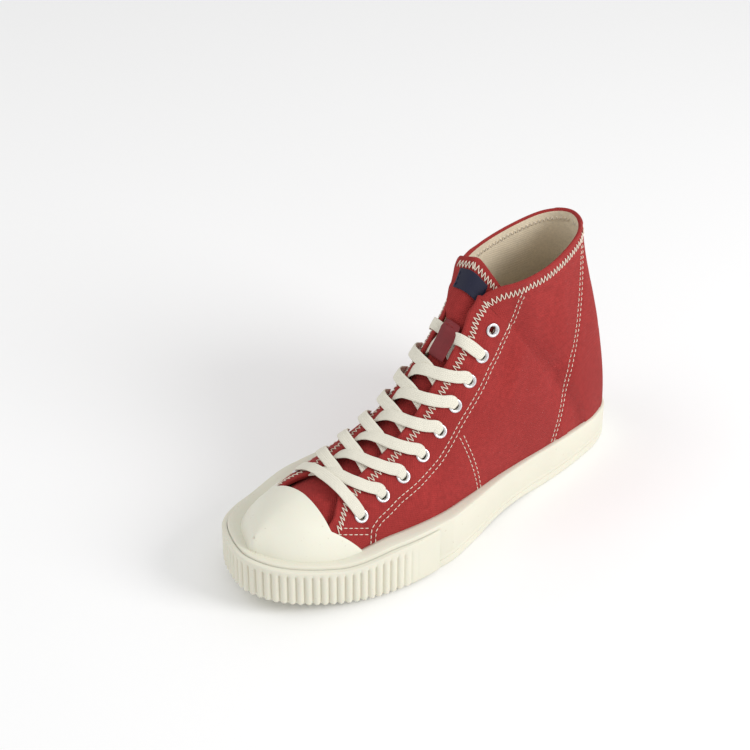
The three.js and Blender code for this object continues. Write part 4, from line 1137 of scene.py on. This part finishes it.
def place_at(side, x, z):
    """Rows k and t of the upper at given x and z, found by Newton steps."""
    k, t = np.full(x.shape, 11.5), np.full(x.shape, 0.7)
    step = 0.01
    for _ in range(30):
        here = surface(side, k, t)
        by_k = (surface(side, k + step, t) - here) / step
        by_t = (surface(side, k, t + step) - here) / step
        det = by_k[..., 0] * by_t[..., 2] - by_k[..., 2] * by_t[..., 0]
        ex, ez = x - here[..., 0], z - here[..., 2]
        k = np.clip(k + (ex * by_t[..., 2] - ez * by_t[..., 0]) / det, 4, LAST_ROW - step)
        t = np.clip(t + (by_k[..., 0] * ez - by_k[..., 2] * ex) / det, 0.05, 1 - step)
    return k, t


# Sunk rings of the badge: depth, and the radii where each starts, is full, leaves and ends
BADGE_RINGS = (
    (0.55, 20.6, 21.1, 21.9, 22.4),
    (0.45, 17.6, 18.0, 18.9, 19.3),
    (0.55, 10.4, 10.9, 15.9, 16.4),
    (0.40, 6.6, 7.0, 8.0, 8.4),
)
BADGE_RIM_FROM, BADGE_RIM_DROP = 23.6, 0.9


def badge_height(radius):
    """The badge's face: a rounded rim, two fine rings, a sunk band and a low middle disc."""
    height = np.full(radius.shape, float(BADGE_THICKNESS))
    for depth, start_at, full_at, leave_at, end_at in BADGE_RINGS:
        height -= depth * (ease(start_at, full_at, radius) - ease(leave_at, end_at, radius))
    return height - BADGE_RIM_DROP * ease(BADGE_RIM_FROM, BADGE_RADIUS, radius) ** 2


def make_badge(look):
    sheets = Sheets()
    radius = np.concatenate([[0.05], np.linspace(1, BADGE_RADIUS - 0.1, 90),
                             [BADGE_RADIUS, BADGE_RADIUS, BADGE_RADIUS - 0.4]])
    turn = np.linspace(0, 2 * math.pi, 97)[:-1]
    x = BADGE_ALONG + radius[:, None] * np.cos(turn)[None, :]
    z = BADGE_HEIGHT + radius[:, None] * np.sin(turn)[None, :]
    k, t = place_at(-1, x, z)
    height = badge_height(radius)
    height[-2:] = (0.2, -0.4)
    # The stiff rubber bridges the small folds of the canvas: a smooth bowl through its places
    u, v = (x - BADGE_ALONG).ravel() / BADGE_RADIUS, (z - BADGE_HEIGHT).ravel() / BADGE_RADIUS
    terms = np.stack([np.ones_like(u), u, v, u * u, u * v, v * v], -1)
    bowl = np.linalg.lstsq(terms, surface(-1, k, t)[..., 1].ravel(), rcond=None)[0]
    y = (terms @ bowl).reshape(x.shape)
    slope_x = ((bowl[1] + 2 * bowl[3] * u + bowl[4] * v) / BADGE_RADIUS).reshape(x.shape)
    slope_z = ((bowl[2] + 2 * bowl[5] * v + bowl[4] * u) / BADGE_RADIUS).reshape(x.shape)
    normal = unit(np.stack([slope_x, -np.ones_like(x), slope_z], -1))
    sheets.grid(np.stack([x, y, z], -1) + normal * height[:, None, None], wrap=True)
    build("ankle_badge_rubber", sheets, [look["badge"]], ["ankle_badge"])


# Eyelets and laces

RING_MIDDLE = 3.55
RING_HALF_WIDTH = 0.9
RING_HEIGHT = 0.65
RING_FOOT = 0.3


def make_eyelets(look):
    sheets = Sheets()
    seat = OVERLAY + RING_FOOT
    profile = [(EYELET_HOLE + 0.05, -WALL - 0.15), (EYELET_HOLE, -WALL), (EYELET_HOLE, seat)]
    for angle in np.linspace(math.pi, 0, 10):
        profile.append((RING_MIDDLE + RING_HALF_WIDTH * math.cos(angle),
                        seat + RING_HEIGHT * math.sin(angle)))
    profile.append((EYELET_RADIUS - 0.05, OVERLAY + 0.05))
    profile = np.array(profile)
    turn = np.linspace(0, 2 * math.pi, 29)[:-1]
    for side, k, t in eyelet_places():
        axis = outward(side, k, t)
        middle = skin(side, k, t, 0)
        across = unit(np.cross(axis, [0.0, 0.0, 1.0]))
        other = np.cross(axis, across)
        ring = np.cos(turn)[:, None] * across + np.sin(turn)[:, None] * other
        points = (middle + profile[:, 0, None, None] * ring[None]
                  + profile[:, 1, None, None] * axis)
        sheets.grid(points, wrap=True)
    nodes = [f"eyelet_{name}_{pair + 1}" for name in ("lateral", "medial")
             for pair in range(EYELET_PAIRS)]
    build("eyelet_rings", sheets, [look["metal"]], nodes)


OVER_FLAP = OVERLAY + 1.75
IN_THROAT = -WALL + 1.45
UNDER_FLAP = -WALL - 0.72
BAR_LIFT = 1.4
OUTER_START, OUTER_ARCH = 0.04, 0.3
INNER_START, INNER_ARCH = 0.30, 2.6
BAND_SQUARENESS, BAND_ROUNDNESS = 0.5, 0.75
BAND_SAMPLES = 64


def lace_stop(k, side, distance, offset, width=1.0):
    """A place on a lace, at a distance outwards from the flap's edge."""
    gap = float(throat_half_gap(k))
    return side, k, float(from_top(side, k, gap + distance)), offset, width


def throat_stop(k, side, share, offset, width=1.0):
    gap = float(throat_half_gap(k))
    return side, k, float(from_top(side, k, share * gap)), offset, width


def into_eyelet(k, side):
    back = EYELET_SETBACK
    return [
        lace_stop(k, side, back - 4.6, OVER_FLAP + 0.1),
        lace_stop(k, side, back - 2.4, OVER_FLAP - 0.1, 0.93),
        lace_stop(k, side, back - 0.5, OVER_FLAP - 1.0, 0.72),
        lace_stop(k, side, back + 0.4, -0.2, 0.55),
        lace_stop(k, side, back + 0.2, UNDER_FLAP, 0.5),
    ]


def lace_paths():
    k = float(PAIR_ROWS[0])
    back = EYELET_SETBACK
    bar = [lace_stop(k, 1, 0.45 * back, OVER_FLAP + 0.5),
           throat_stop(k, 1, 0.6, OVER_FLAP + BAR_LIFT),
           throat_stop(k, -1, 0.6, OVER_FLAP + BAR_LIFT),
           lace_stop(k, -1, 0.45 * back, OVER_FLAP + 0.5)]
    paths = [into_eyelet(k, 1)[::-1] + bar + into_eyelet(k, -1)]
    for pair in range(1, LACED_PAIRS):
        below, to = float(PAIR_ROWS[pair - 1]), float(PAIR_ROWS[pair])
        under_keeper = pair == LACED_PAIRS - 1
        for side in (1, -1):
            # The strand to the outer side lies on the other and runs low, the other arches up
            lift = LACE_THICKNESS if side > 0 else 0
            arch = OUTER_ARCH if side > 0 else INNER_ARCH
            start = mix(below, to, OUTER_START if side > 0 else INNER_START)
            hidden = [
                lace_stop(below, -side, back, UNDER_FLAP, 0.6),
                lace_stop(mix(below, to, 0.05), -side, 0.5 * back, UNDER_FLAP, 0.9),
            ]
            if under_keeper:
                low = TONGUE_FACE + 0.75 + 0.9 * lift
                middle = [
                    throat_stop(mix(start, to, 0.1), -side, 0.8, low),
                    throat_stop(mix(start, to, 0.55), -side, 0.1, low + 0.2),
                    throat_stop(mix(start, to, 0.8), side, 0.55, low + 0.6),
                    throat_stop(mix(start, to, 0.93), side, 0.97, OVER_FLAP - 0.9),
                    lace_stop(mix(start, to, 0.98), side, 0.3 * back, OVER_FLAP + 0.3),
                ]
            else:
                middle = [
                    throat_stop(start, -side, 0.86, IN_THROAT + 0.35 * lift),
                    throat_stop(mix(start, to, 0.26), -side, 0.05, OVERLAY + lift),
                    throat_stop(mix(start, to, 0.52), side, 0.95, OVER_FLAP + arch),
                    lace_stop(mix(start, to, 0.78), side, 0.45 * back, OVER_FLAP + arch),
                ]
            paths.append(hidden + middle + into_eyelet(to, side))
    return paths


def make_laces(look):
    sheets = Sheets()
    turn = np.linspace(0, 2 * math.pi, 15)[:-1]
    flat = np.column_stack([signed_power(np.cos(turn), BAND_SQUARENESS),
                            signed_power(np.sin(turn), BAND_ROUNDNESS)])
    for number, stops in enumerate(lace_paths()):
        knots = np.array([skin(*stop[:4]) for stop in stops])
        ups = np.array([outward(*stop[:3]) for stop in stops])
        widths = np.array([[stop[4]] for stop in stops])
        at = np.linspace(0, 1, BAND_SAMPLES)
        path = spline(knots, False, at)
        up = unit(spline(ups, False, at))
        width = np.clip(spline(widths, False, at), 0.4, 1)
        along = unit(np.gradient(path, axis=0))
        across = unit(np.cross(along, up))
        facing = np.cross(across, along)
        run = run_along(path)
        # The flat band tilts a little from side to side along its run
        tilt = 0.05 * np.sin(run * 0.21 + number * 1.7)[:, None]
        across, facing = across + facing * tilt, facing - across * tilt
        half = LACE_WIDTH / 2 * width * (1 + 0.02 * np.sin(run * 0.5 + number))[:, None]
        thick = LACE_THICKNESS / 2 * (1 + 1.1 * (1 - width))
        points = (path[:, None] + flat[None, :, :1] * (across * half)[:, None]
                  + flat[None, :, 1:] * (facing * thick)[:, None])
        u = np.broadcast_to(run[:, None], points.shape[:2])
        v = np.broadcast_to(flat[None, :, 0] * LACE_WIDTH / 2, points.shape[:2])
        sheets.grid(points, uv=np.stack([u, v], -1), wrap=True)
    nodes = [f"lace_row_{pair + 1}" for pair in range(LACED_PAIRS)]
    build("lace_bands", sheets, [look["lace"]], nodes)


# Materials

def linear(colour):
    """An sRGB hex value as linear RGBA."""
    parts = [int(colour[i:i + 2], 16) / 255 for i in (1, 3, 5)]
    return (*(c / 12.92 if c <= 0.04045 else ((c + 0.055) / 1.055) ** 2.4 for c in parts), 1.0)


def to_linear(rgb):
    """A colour property as linear RGBA: Blender keeps its colour properties linear already."""
    return (*rgb, 1.0)


def add(tree, kind, links=None, values=None, **settings):
    """Adds one node with its settings, socket values and incoming links."""
    new = tree.nodes.new(kind)
    for name, value in settings.items():
        setattr(new, name, value)
    for name, value in (values or {}).items():
        new.inputs[name].default_value = value
    for name, source in (links or {}).items():
        tree.links.new(source, new.inputs[name])
    return new


def start(name, base, roughness, **sockets):
    """A principled material with its constant values on the shader's own sockets."""
    material = bpy.data.materials.new(name)
    material.use_nodes = True
    tree = material.node_tree
    shader = tree.nodes["Principled BSDF"]
    shader.inputs["Base Color"].default_value = base
    shader.inputs["Roughness"].default_value = roughness
    for socket, value in sockets.items():
        shader.inputs[socket.replace("_", " ")].default_value = value
    return material, tree, shader


def run_in_mm(tree):
    """The piece's UVs, which count millimetres along its surface."""
    uv = add(tree, "ShaderNodeUVMap", uv_map="millimetres")
    return add(tree, "ShaderNodeSeparateXYZ", {0: uv.outputs[0]})


def ripple(tree, source, pitch):
    """A sine along one direction that repeats every two threads."""
    turned = add(tree, "ShaderNodeMath", {0: source}, {1: math.pi / pitch}, operation="MULTIPLY")
    return add(tree, "ShaderNodeMath", {0: turned.outputs[0]}, operation="SINE").outputs[0]


def plain_weave(tree, pitch):
    """Raised threads that pass over and under each other."""
    run = run_in_mm(tree)
    warp, weft = ripple(tree, run.outputs[0], pitch), ripple(tree, run.outputs[1], pitch)
    return add(tree, "ShaderNodeMath", {0: warp, 1: weft}, operation="MULTIPLY").outputs[0]


def grain(tree, size_mm, detail=3.0):
    """Noise in the shoe's own space with features of about the given size."""
    place = add(tree, "ShaderNodeTexCoord").outputs["Object"]
    return add(tree, "ShaderNodeTexNoise", {"Vector": place},
               {"Scale": 1000 / size_mm / 2, "Detail": detail}).outputs[0]


def ramp(tree, source, low, high, out_low=0.0, out_high=1.0):
    return add(tree, "ShaderNodeMapRange", {0: source},
               {1: low, 2: high, 3: out_low, 4: out_high}).outputs[0]


def tint(tree, share, first, second):
    node = add(tree, "ShaderNodeMix", data_type="RGBA", blend_type="MIX")
    for socket, source in ((0, share), (6, first), (7, second)):
        if isinstance(source, (int, float, tuple)):
            node.inputs[socket].default_value = source
        else:
            tree.links.new(source, node.inputs[socket])
    return node.outputs[2]


def bump(tree, shader, height, depth_mm, strength, before=None):
    node = add(tree, "ShaderNodeBump", {"Height": height},
               {"Distance": depth_mm / 1000, "Strength": strength})
    if before is not None:
        tree.links.new(before, node.inputs["Normal"])
    tree.links.new(node.outputs[0], shader.inputs["Normal"])
    return node.outputs[0]


def darker(colour, share):
    return tuple(c * share for c in colour[:3]) + (1.0,)


def dyed_canvas(name, colour, pitch):
    # Dyed plain-woven cotton: matt, with a faint fuzz that lightens grazing angles, single
    # threads that vary in shade, and soft patches where the dye has taken unevenly
    material, tree, shader = start(name, colour, 0.92, Sheen_Weight=0.04, Sheen_Roughness=0.5,
                                   Specular_IOR_Level=0.15)
    weave = plain_weave(tree, pitch)
    patches = ramp(tree, grain(tree, 22), 0.35, 0.65)
    slubs = ramp(tree, grain(tree, 1.6, 6.0), 0.3, 0.7)
    base = tint(tree, patches, darker(colour, 0.90), darker(colour, 1.07))
    base = tint(tree, slubs, darker(colour, 0.80), base)
    base = tint(tree, ramp(tree, weave, -1.0, 0.4, 0.34, 0.0), base, darker(colour, 0.55))
    tree.links.new(base, shader.inputs["Base Color"])
    soft = bump(tree, shader, grain(tree, 9), 0.5, 0.35)
    bump(tree, shader, weave, 0.2, 0.75, soft)
    return material


def vulcanised_rubber(name, colour, specks=()):
    # Moulded and vulcanised natural rubber: satin and slightly translucent, with shade painted
    # darker and warmer into its hollows
    material, tree, shader = start(name, colour, 0.48, IOR=1.52, Specular_IOR_Level=0.4,
                                   Subsurface_Weight=0.06, Subsurface_Scale=0.004)
    cloud = ramp(tree, grain(tree, 30), 0.35, 0.7)
    base = tint(tree, cloud, darker(colour, 0.955), colour)
    # Painted shade: concave hollows, found by pointiness, are tinted darker and warmer
    hollow = add(tree, "ShaderNodeNewGeometry").outputs["Pointiness"]
    painted_hollow_shade = ramp(tree, hollow, 0.46, 0.5, 0.30, 0.0)
    base = tint(tree, painted_hollow_shade, base, linear("#b9ac8c"))
    fine = ramp(tree, grain(tree, 1.1, 2.0), 0.70, 0.76, 0.0, 0.30)
    base = tint(tree, fine, base, linear("#b3a68a"))
    place = add(tree, "ShaderNodeTexCoord").outputs["Object"]
    for where, size in specks:
        away = add(tree, "ShaderNodeVectorMath", {0: place}, {1: where}, operation="DISTANCE")
        dot = ramp(tree, away.outputs["Value"], size / 1000, size / 2000, 0.0, 0.8)
        base = tint(tree, dot, base, linear("#5b4a3c"))
    tree.links.new(base, shader.inputs["Base Color"])
    gloss = ramp(tree, grain(tree, 6, 5.0), 0.3, 0.7, 0.42, 0.58)
    tree.links.new(gloss, shader.inputs["Roughness"])
    bump(tree, shader, grain(tree, 2.2, 4.0), 0.05, 0.5)
    return material


def flat_lace_cotton(name, colour):
    # Unbleached cotton woven as a flat tube: matt, with a fine herringbone along the band
    material, tree, shader = start(name, colour, 0.88, Sheen_Weight=0.1, Specular_IOR_Level=0.25)
    run = run_in_mm(tree)
    side = add(tree, "ShaderNodeMath", {0: run.outputs[1]}, operation="ABSOLUTE").outputs[0]
    slant = add(tree, "ShaderNodeMath", {0: run.outputs[0], 1: side}, operation="ADD").outputs[0]
    # The braid is about 0.6 mm fine, and drawn at 1.1 mm so that it shows
    braid = ripple(tree, slant, 0.55)
    strands = ripple(tree, run.outputs[1], 0.6)
    both = add(tree, "ShaderNodeMath", {0: braid, 1: strands}, operation="ADD").outputs[0]
    base = tint(tree, ramp(tree, both, -2.0, 0.2, 0.22, 0.0), colour, linear("#c9bf9f"))
    base = tint(tree, ramp(tree, grain(tree, 8), 0.4, 0.7, 0.0, 0.25), base, darker(colour, 0.86))
    tree.links.new(base, shader.inputs["Base Color"])
    bump(tree, shader, both, 0.10, 0.6)
    return material


def brushed_lining(name, colour):
    # Natural cotton drill with a brushed face: matt, uneven and a little fuzzy
    material, tree, shader = start(name, colour, 0.95, Sheen_Weight=0.15, Specular_IOR_Level=0.2)
    base = tint(tree, ramp(tree, grain(tree, 14), 0.3, 0.7), darker(colour, 0.84), colour)
    base = tint(tree, ramp(tree, grain(tree, 0.9, 4.0), 0.3, 0.7, 0.35, 0.0), base,
                darker(colour, 0.62))
    tree.links.new(base, shader.inputs["Base Color"])
    soft = bump(tree, shader, grain(tree, 7), 0.6, 0.4)
    bump(tree, shader, plain_weave(tree, 0.9), 0.12, 0.5, soft)
    return material


def pressed_metal(name, colour):
    # Pressed aluminium rings: pale satin metal with fine tumbling marks
    material, tree, shader = start(name, colour, 0.3, Metallic=1.0)
    gloss = ramp(tree, grain(tree, 1.5, 5.0), 0.3, 0.7, 0.22, 0.42)
    tree.links.new(gloss, shader.inputs["Roughness"])
    bump(tree, shader, grain(tree, 0.8, 3.0), 0.02, 0.4)
    return material


def smooth_leather(name, colour):
    # Dyed smooth leather: a low sheen over a fine pore grain
    material, tree, shader = start(name, colour, 0.5, Specular_IOR_Level=0.45)
    place = add(tree, "ShaderNodeTexCoord").outputs["Object"]
    pores = add(tree, "ShaderNodeTexVoronoi", {"Vector": place}, {"Scale": 1000 / 0.9},
                feature="DISTANCE_TO_EDGE").outputs["Distance"]
    base = tint(tree, ramp(tree, grain(tree, 6), 0.3, 0.7), darker(colour, 0.8),
                darker(colour, 1.1))
    tree.links.new(base, shader.inputs["Base Color"])
    bump(tree, shader, ramp(tree, pores, 0.0, 0.12), 0.08, 0.5)
    return material


def woven_label(name, colour):
    # Damask-woven polyester: close ribs with a slight thread shine
    material, tree, shader = start(name, colour, 0.6, Sheen_Weight=0.1, Specular_IOR_Level=0.4)
    run = run_in_mm(tree)
    ribs = ripple(tree, run.outputs[0], 0.35)
    base = tint(tree, ramp(tree, ribs, -1.0, 1.0), darker(colour, 0.7), darker(colour, 1.4))
    tree.links.new(base, shader.inputs["Base Color"])
    bump(tree, shader, ribs, 0.06, 0.6)
    return material


def sewing_thread(name, colour):
    # Twisted cotton thread: matt with a faint twist
    material, tree, shader = start(name, colour, 0.8, Specular_IOR_Level=0.3)
    base = tint(tree, ramp(tree, grain(tree, 1.2), 0.3, 0.7), darker(colour, 0.86), colour)
    tree.links.new(base, shader.inputs["Base Color"])
    return material


# Dark specks on the cap: place in metres and size in millimetres
SPECKS = (((0.2198, 0.0041, 0.0575), 1.0),)


def make_look(colours, sizes):
    canvas = to_linear(colours.canvas)
    rubber = to_linear(colours.rubber)
    return {
        "canvas": dyed_canvas("dyed plain-woven cotton canvas", canvas, sizes.weave_pitch),
        "rubber": vulcanised_rubber("vulcanised sole rubber", rubber),
        "cap": vulcanised_rubber("moulded toe cap rubber", to_linear(colours.cap), SPECKS),
        "badge": vulcanised_rubber("moulded badge rubber", to_linear(colours.badge)),
        "lining": brushed_lining("brushed cotton lining", to_linear(colours.lining)),
        "insole": brushed_lining("cotton drill insole", to_linear(colours.insole)),
        "lace": flat_lace_cotton("flat woven cotton lace", to_linear(colours.lace)),
        "thread": sewing_thread("cream cotton thread", to_linear(colours.thread)),
        "red_thread": sewing_thread("red cotton thread", darker(canvas, 0.7)),
        "navy_thread": sewing_thread("navy cotton thread", darker(to_linear(colours.label), 1.6)),
        "metal": pressed_metal("pressed aluminium eyelets", to_linear(colours.eyelet)),
        "leather": smooth_leather("dyed smooth leather", to_linear(colours.leather)),
        "label": woven_label("woven polyester label", to_linear(colours.label)),
    }


# Stage

CAMERA_PLACE = (0.79732, 0.72081, 0.80385)
CAMERA_FORWARD = (-0.5397, -0.6098, -0.5803)
CAMERA_ROLL = 0.31
FOCAL_IN_PIXELS = 1989.2
PICTURE_PIXELS = 750
SENSOR_MM = 36.0
FLOOR_HALF = 6.0
KEY_PLACE, KEY_AIM, KEY_SIZE = (-0.45, 1.25, 0.85), (0.1, 0, 0.07), 0.8
FILL_PLACE, FILL_AIM, FILL_SIZE = (1.0, -0.5, 1.4), (0.1, 0, 0.05), 1.2
FILL_SHARE = 0.3


def make_camera():
    data = bpy.data.cameras.new("camera")
    data.sensor_fit = "HORIZONTAL"
    data.sensor_width = SENSOR_MM
    data.lens = FOCAL_IN_PIXELS / PICTURE_PIXELS * SENSOR_MM
    data.clip_end = 20
    camera = bpy.data.objects.new("camera", data)
    forward = Vector(CAMERA_FORWARD).normalized()
    right = forward.cross(Vector((0, 0, 1))).normalized()
    up = right.cross(forward)
    roll = math.radians(CAMERA_ROLL)
    right, up = (right * math.cos(roll) + up * math.sin(roll),
                 up * math.cos(roll) - right * math.sin(roll))
    turn = Matrix((right, up, -forward)).transposed().to_4x4()
    camera.matrix_world = Matrix.Translation(CAMERA_PLACE) @ turn
    bpy.context.scene.collection.objects.link(camera)
    bpy.context.scene.camera = camera


def make_light(name, place, target, size, power):
    data = bpy.data.lights.new(name, "AREA")
    data.shape = "DISK"
    data.size = size
    data.energy = power
    light = bpy.data.objects.new(name, data)
    aim = Vector(target) - Vector(place)
    turn = aim.to_track_quat("-Z", "Y").to_matrix().to_4x4()
    light.matrix_world = Matrix.Translation(place) @ turn
    bpy.context.scene.collection.objects.link(light)


def make_floor(colour):
    # Smooth white studio paper: even and matt
    material, tree, shader = start("white studio paper", colour, 0.9, Specular_IOR_Level=0.1)
    patches = ramp(tree, grain(tree, 400), 0.3, 0.7)
    tree.links.new(tint(tree, patches, darker(colour, 0.985), colour),
                   shader.inputs["Base Color"])
    mesh = bpy.data.meshes.new("studio_floor")
    corners = [(x * FLOOR_HALF, y * FLOOR_HALF, 0) for x, y in ((-1, -1), (1, -1), (1, 1), (-1, 1))]
    mesh.from_pydata(corners, [], [(0, 1, 2, 3)])
    mesh.materials.append(material)
    floor = bpy.data.objects.new("studio_floor", mesh)
    bpy.context.scene.collection.objects.link(floor)


def make_world(strength):
    world = bpy.data.worlds.new("studio air")
    world.use_nodes = True
    background = world.node_tree.nodes["Background"]
    background.inputs[0].default_value = linear("#ffffff")
    background.inputs[1].default_value = strength
    bpy.context.scene.world = world
    # The plain view keeps the real colours of cloth and rubber
    bpy.context.scene.view_settings.view_transform = "Standard"


# The add-on

def colour_property(name, description, default):
    return FloatVectorProperty(name=name, description=description, subtype="COLOR", size=3,
                               min=0, max=1, default=linear(default)[:3])


class SneakerColours(bpy.types.PropertyGroup):
    canvas: colour_property("Canvas", "Dyed canvas of upper and tongue", "#a93836")
    rubber: colour_property("Sole rubber", "Sole, sidewall and toe band", "#e2dfce")
    cap: colour_property("Cap rubber", "Toe cap", "#e8e6d6")
    badge: colour_property("Badge rubber", "Round badge on the inner ankle", "#ddccb8")
    lining: colour_property("Lining", "Brushed lining of the collar", "#f6e8ce")
    insole: colour_property("Insole", "Footbed cloth", "#d9ccb2")
    lace: colour_property("Laces", "Flat cotton laces", "#e9e5d6")
    thread: colour_property("Thread", "Contrast stitching", "#efe4d2")
    eyelet: colour_property("Eyelets", "Pressed metal rings", "#dcdcde")
    leather: colour_property("Keeper", "Leather lace keeper", "#74191f")
    label: colour_property("Label", "Bare woven label", "#0b0f2c")
    floor: colour_property("Floor", "Studio paper", "#fefefe")


class SneakerSizes(bpy.types.PropertyGroup):
    weave_pitch: FloatProperty(name="Thread spacing", default=0.8, min=0.3, max=3,
                               description="Canvas thread spacing in millimetres, drawn coarse "
                                           "enough to show")
    stitch_length: FloatProperty(name="Stitch length", default=2.5, min=1, max=6,
                                 description="Length of one seam stitch in millimetres")
    stitch_gap: FloatProperty(name="Stitch gap", default=0.9, min=0.2, max=3,
                              description="Gap between two seam stitches in millimetres")
    zigzag_pitch: FloatProperty(name="Zigzag pitch", default=2.9, min=2, max=10,
                                description="Length of one full zigzag in millimetres")
    thread_width: FloatProperty(name="Thread width", default=0.58, min=0.3, max=1.5,
                                description="Thickness of the thread in millimetres")
    light: FloatProperty(name="Room light", default=0.69, min=0, max=4,
                         description="Strength of the even light around the shoe")
    key_power: FloatProperty(name="Key light", default=12.8, min=0, max=500, unit="POWER",
                             description="Power of the main soft light")


LOOK = {}


def settings(context):
    return context.scene.sneaker_colours, context.scene.sneaker_sizes


class SNEAKER_OT_materials(bpy.types.Operator):
    """Makes the shoe's materials"""
    bl_idname = "sneaker.materials"
    bl_label = "Materials"

    def execute(self, context):
        LOOK.update(make_look(*settings(context)))
        return {"FINISHED"}


class SNEAKER_OT_stage(bpy.types.Operator):
    """Sets the floor, soft lights and camera"""
    bl_idname = "sneaker.stage"
    bl_label = "Stage"

    def execute(self, context):
        colours, sizes = settings(context)
        make_camera()
        make_floor(to_linear(colours.floor))
        make_world(sizes.light)
        make_light("key_softbox", KEY_PLACE, KEY_AIM, KEY_SIZE, sizes.key_power)
        make_light("fill_softbox", FILL_PLACE, FILL_AIM, FILL_SIZE,
                   sizes.key_power * FILL_SHARE)
        return {"FINISHED"}


class SNEAKER_OT_sole(bpy.types.Operator):
    """Builds the outsole, sidewall, toe band, toe cap and insole"""
    bl_idname = "sneaker.sole"
    bl_label = "Sole and rubber"

    def execute(self, context):
        make_outsole(LOOK)
        make_foxing(LOOK)
        make_toe_bumper(LOOK)
        make_toe_cap(LOOK)
        make_insole(LOOK)
        return {"FINISHED"}


class SNEAKER_OT_upper(bpy.types.Operator):
    """Builds the hollow canvas upper with its lining"""
    bl_idname = "sneaker.upper"
    bl_label = "Upper"

    def execute(self, context):
        make_upper(LOOK)
        return {"FINISHED"}


class SNEAKER_OT_stitching(bpy.types.Operator):
    """Sews the seams and the zigzag along the free edges"""
    bl_idname = "sneaker.stitching"
    bl_label = "Stitching"

    def execute(self, context):
        sizes = settings(context)[1]
        make_seams(LOOK, sizes)
        make_edge_zigzag(LOOK, sizes)
        return {"FINISHED"}


class SNEAKER_OT_tongue(bpy.types.Operator):
    """Builds the tongue with its label and lace keeper"""
    bl_idname = "sneaker.tongue"
    bl_label = "Tongue"

    def execute(self, context):
        sizes = settings(context)[1]
        make_tongue(LOOK, sizes)
        make_keeper(LOOK, sizes)
        make_label(LOOK, sizes)
        return {"FINISHED"}


class SNEAKER_OT_badge(bpy.types.Operator):
    """Moulds the plain ringed badge on the inner ankle"""
    bl_idname = "sneaker.badge"
    bl_label = "Ankle badge"

    def execute(self, context):
        make_badge(LOOK)
        return {"FINISHED"}


class SNEAKER_OT_lacing(bpy.types.Operator):
    """Sets the eyelets and runs the laces through them"""
    bl_idname = "sneaker.lacing"
    bl_label = "Eyelets and laces"

    def execute(self, context):
        make_eyelets(LOOK)
        make_laces(LOOK)
        return {"FINISHED"}


OPERATORS = (SNEAKER_OT_materials, SNEAKER_OT_stage, SNEAKER_OT_sole, SNEAKER_OT_upper,
             SNEAKER_OT_stitching, SNEAKER_OT_tongue, SNEAKER_OT_badge, SNEAKER_OT_lacing)


class SNEAKER_PT_panel(bpy.types.Panel):
    """Lists the steps that build the shoe"""
    bl_idname = "SNEAKER_PT_panel"
    bl_label = "Canvas sneaker"
    bl_space_type = "VIEW_3D"
    bl_region_type = "UI"
    bl_category = "Sneaker"

    def draw(self, context):
        for group in settings(context):
            box = self.layout.box()
            for name in group.bl_rna.properties.keys():
                if name not in ("rna_type", "name"):
                    box.prop(group, name)
        for operator in OPERATORS:
            self.layout.operator(operator.bl_idname)


CLASSES = (SneakerColours, SneakerSizes, *OPERATORS, SNEAKER_PT_panel)


def register():
    for item in CLASSES:
        bpy.utils.register_class(item)
    bpy.types.Scene.sneaker_colours = PointerProperty(type=SneakerColours)
    bpy.types.Scene.sneaker_sizes = PointerProperty(type=SneakerSizes)


def unregister():
    del bpy.types.Scene.sneaker_sizes
    del bpy.types.Scene.sneaker_colours
    for item in reversed(CLASSES):
        bpy.utils.unregister_class(item)


def main():
    register()
    bpy.ops.sneaker.materials()
    bpy.ops.sneaker.stage()
    bpy.ops.sneaker.sole()
    bpy.ops.sneaker.upper()
    bpy.ops.sneaker.stitching()
    bpy.ops.sneaker.tongue()
    bpy.ops.sneaker.badge()
    bpy.ops.sneaker.lacing()


if __name__ == "__main__":
    main()
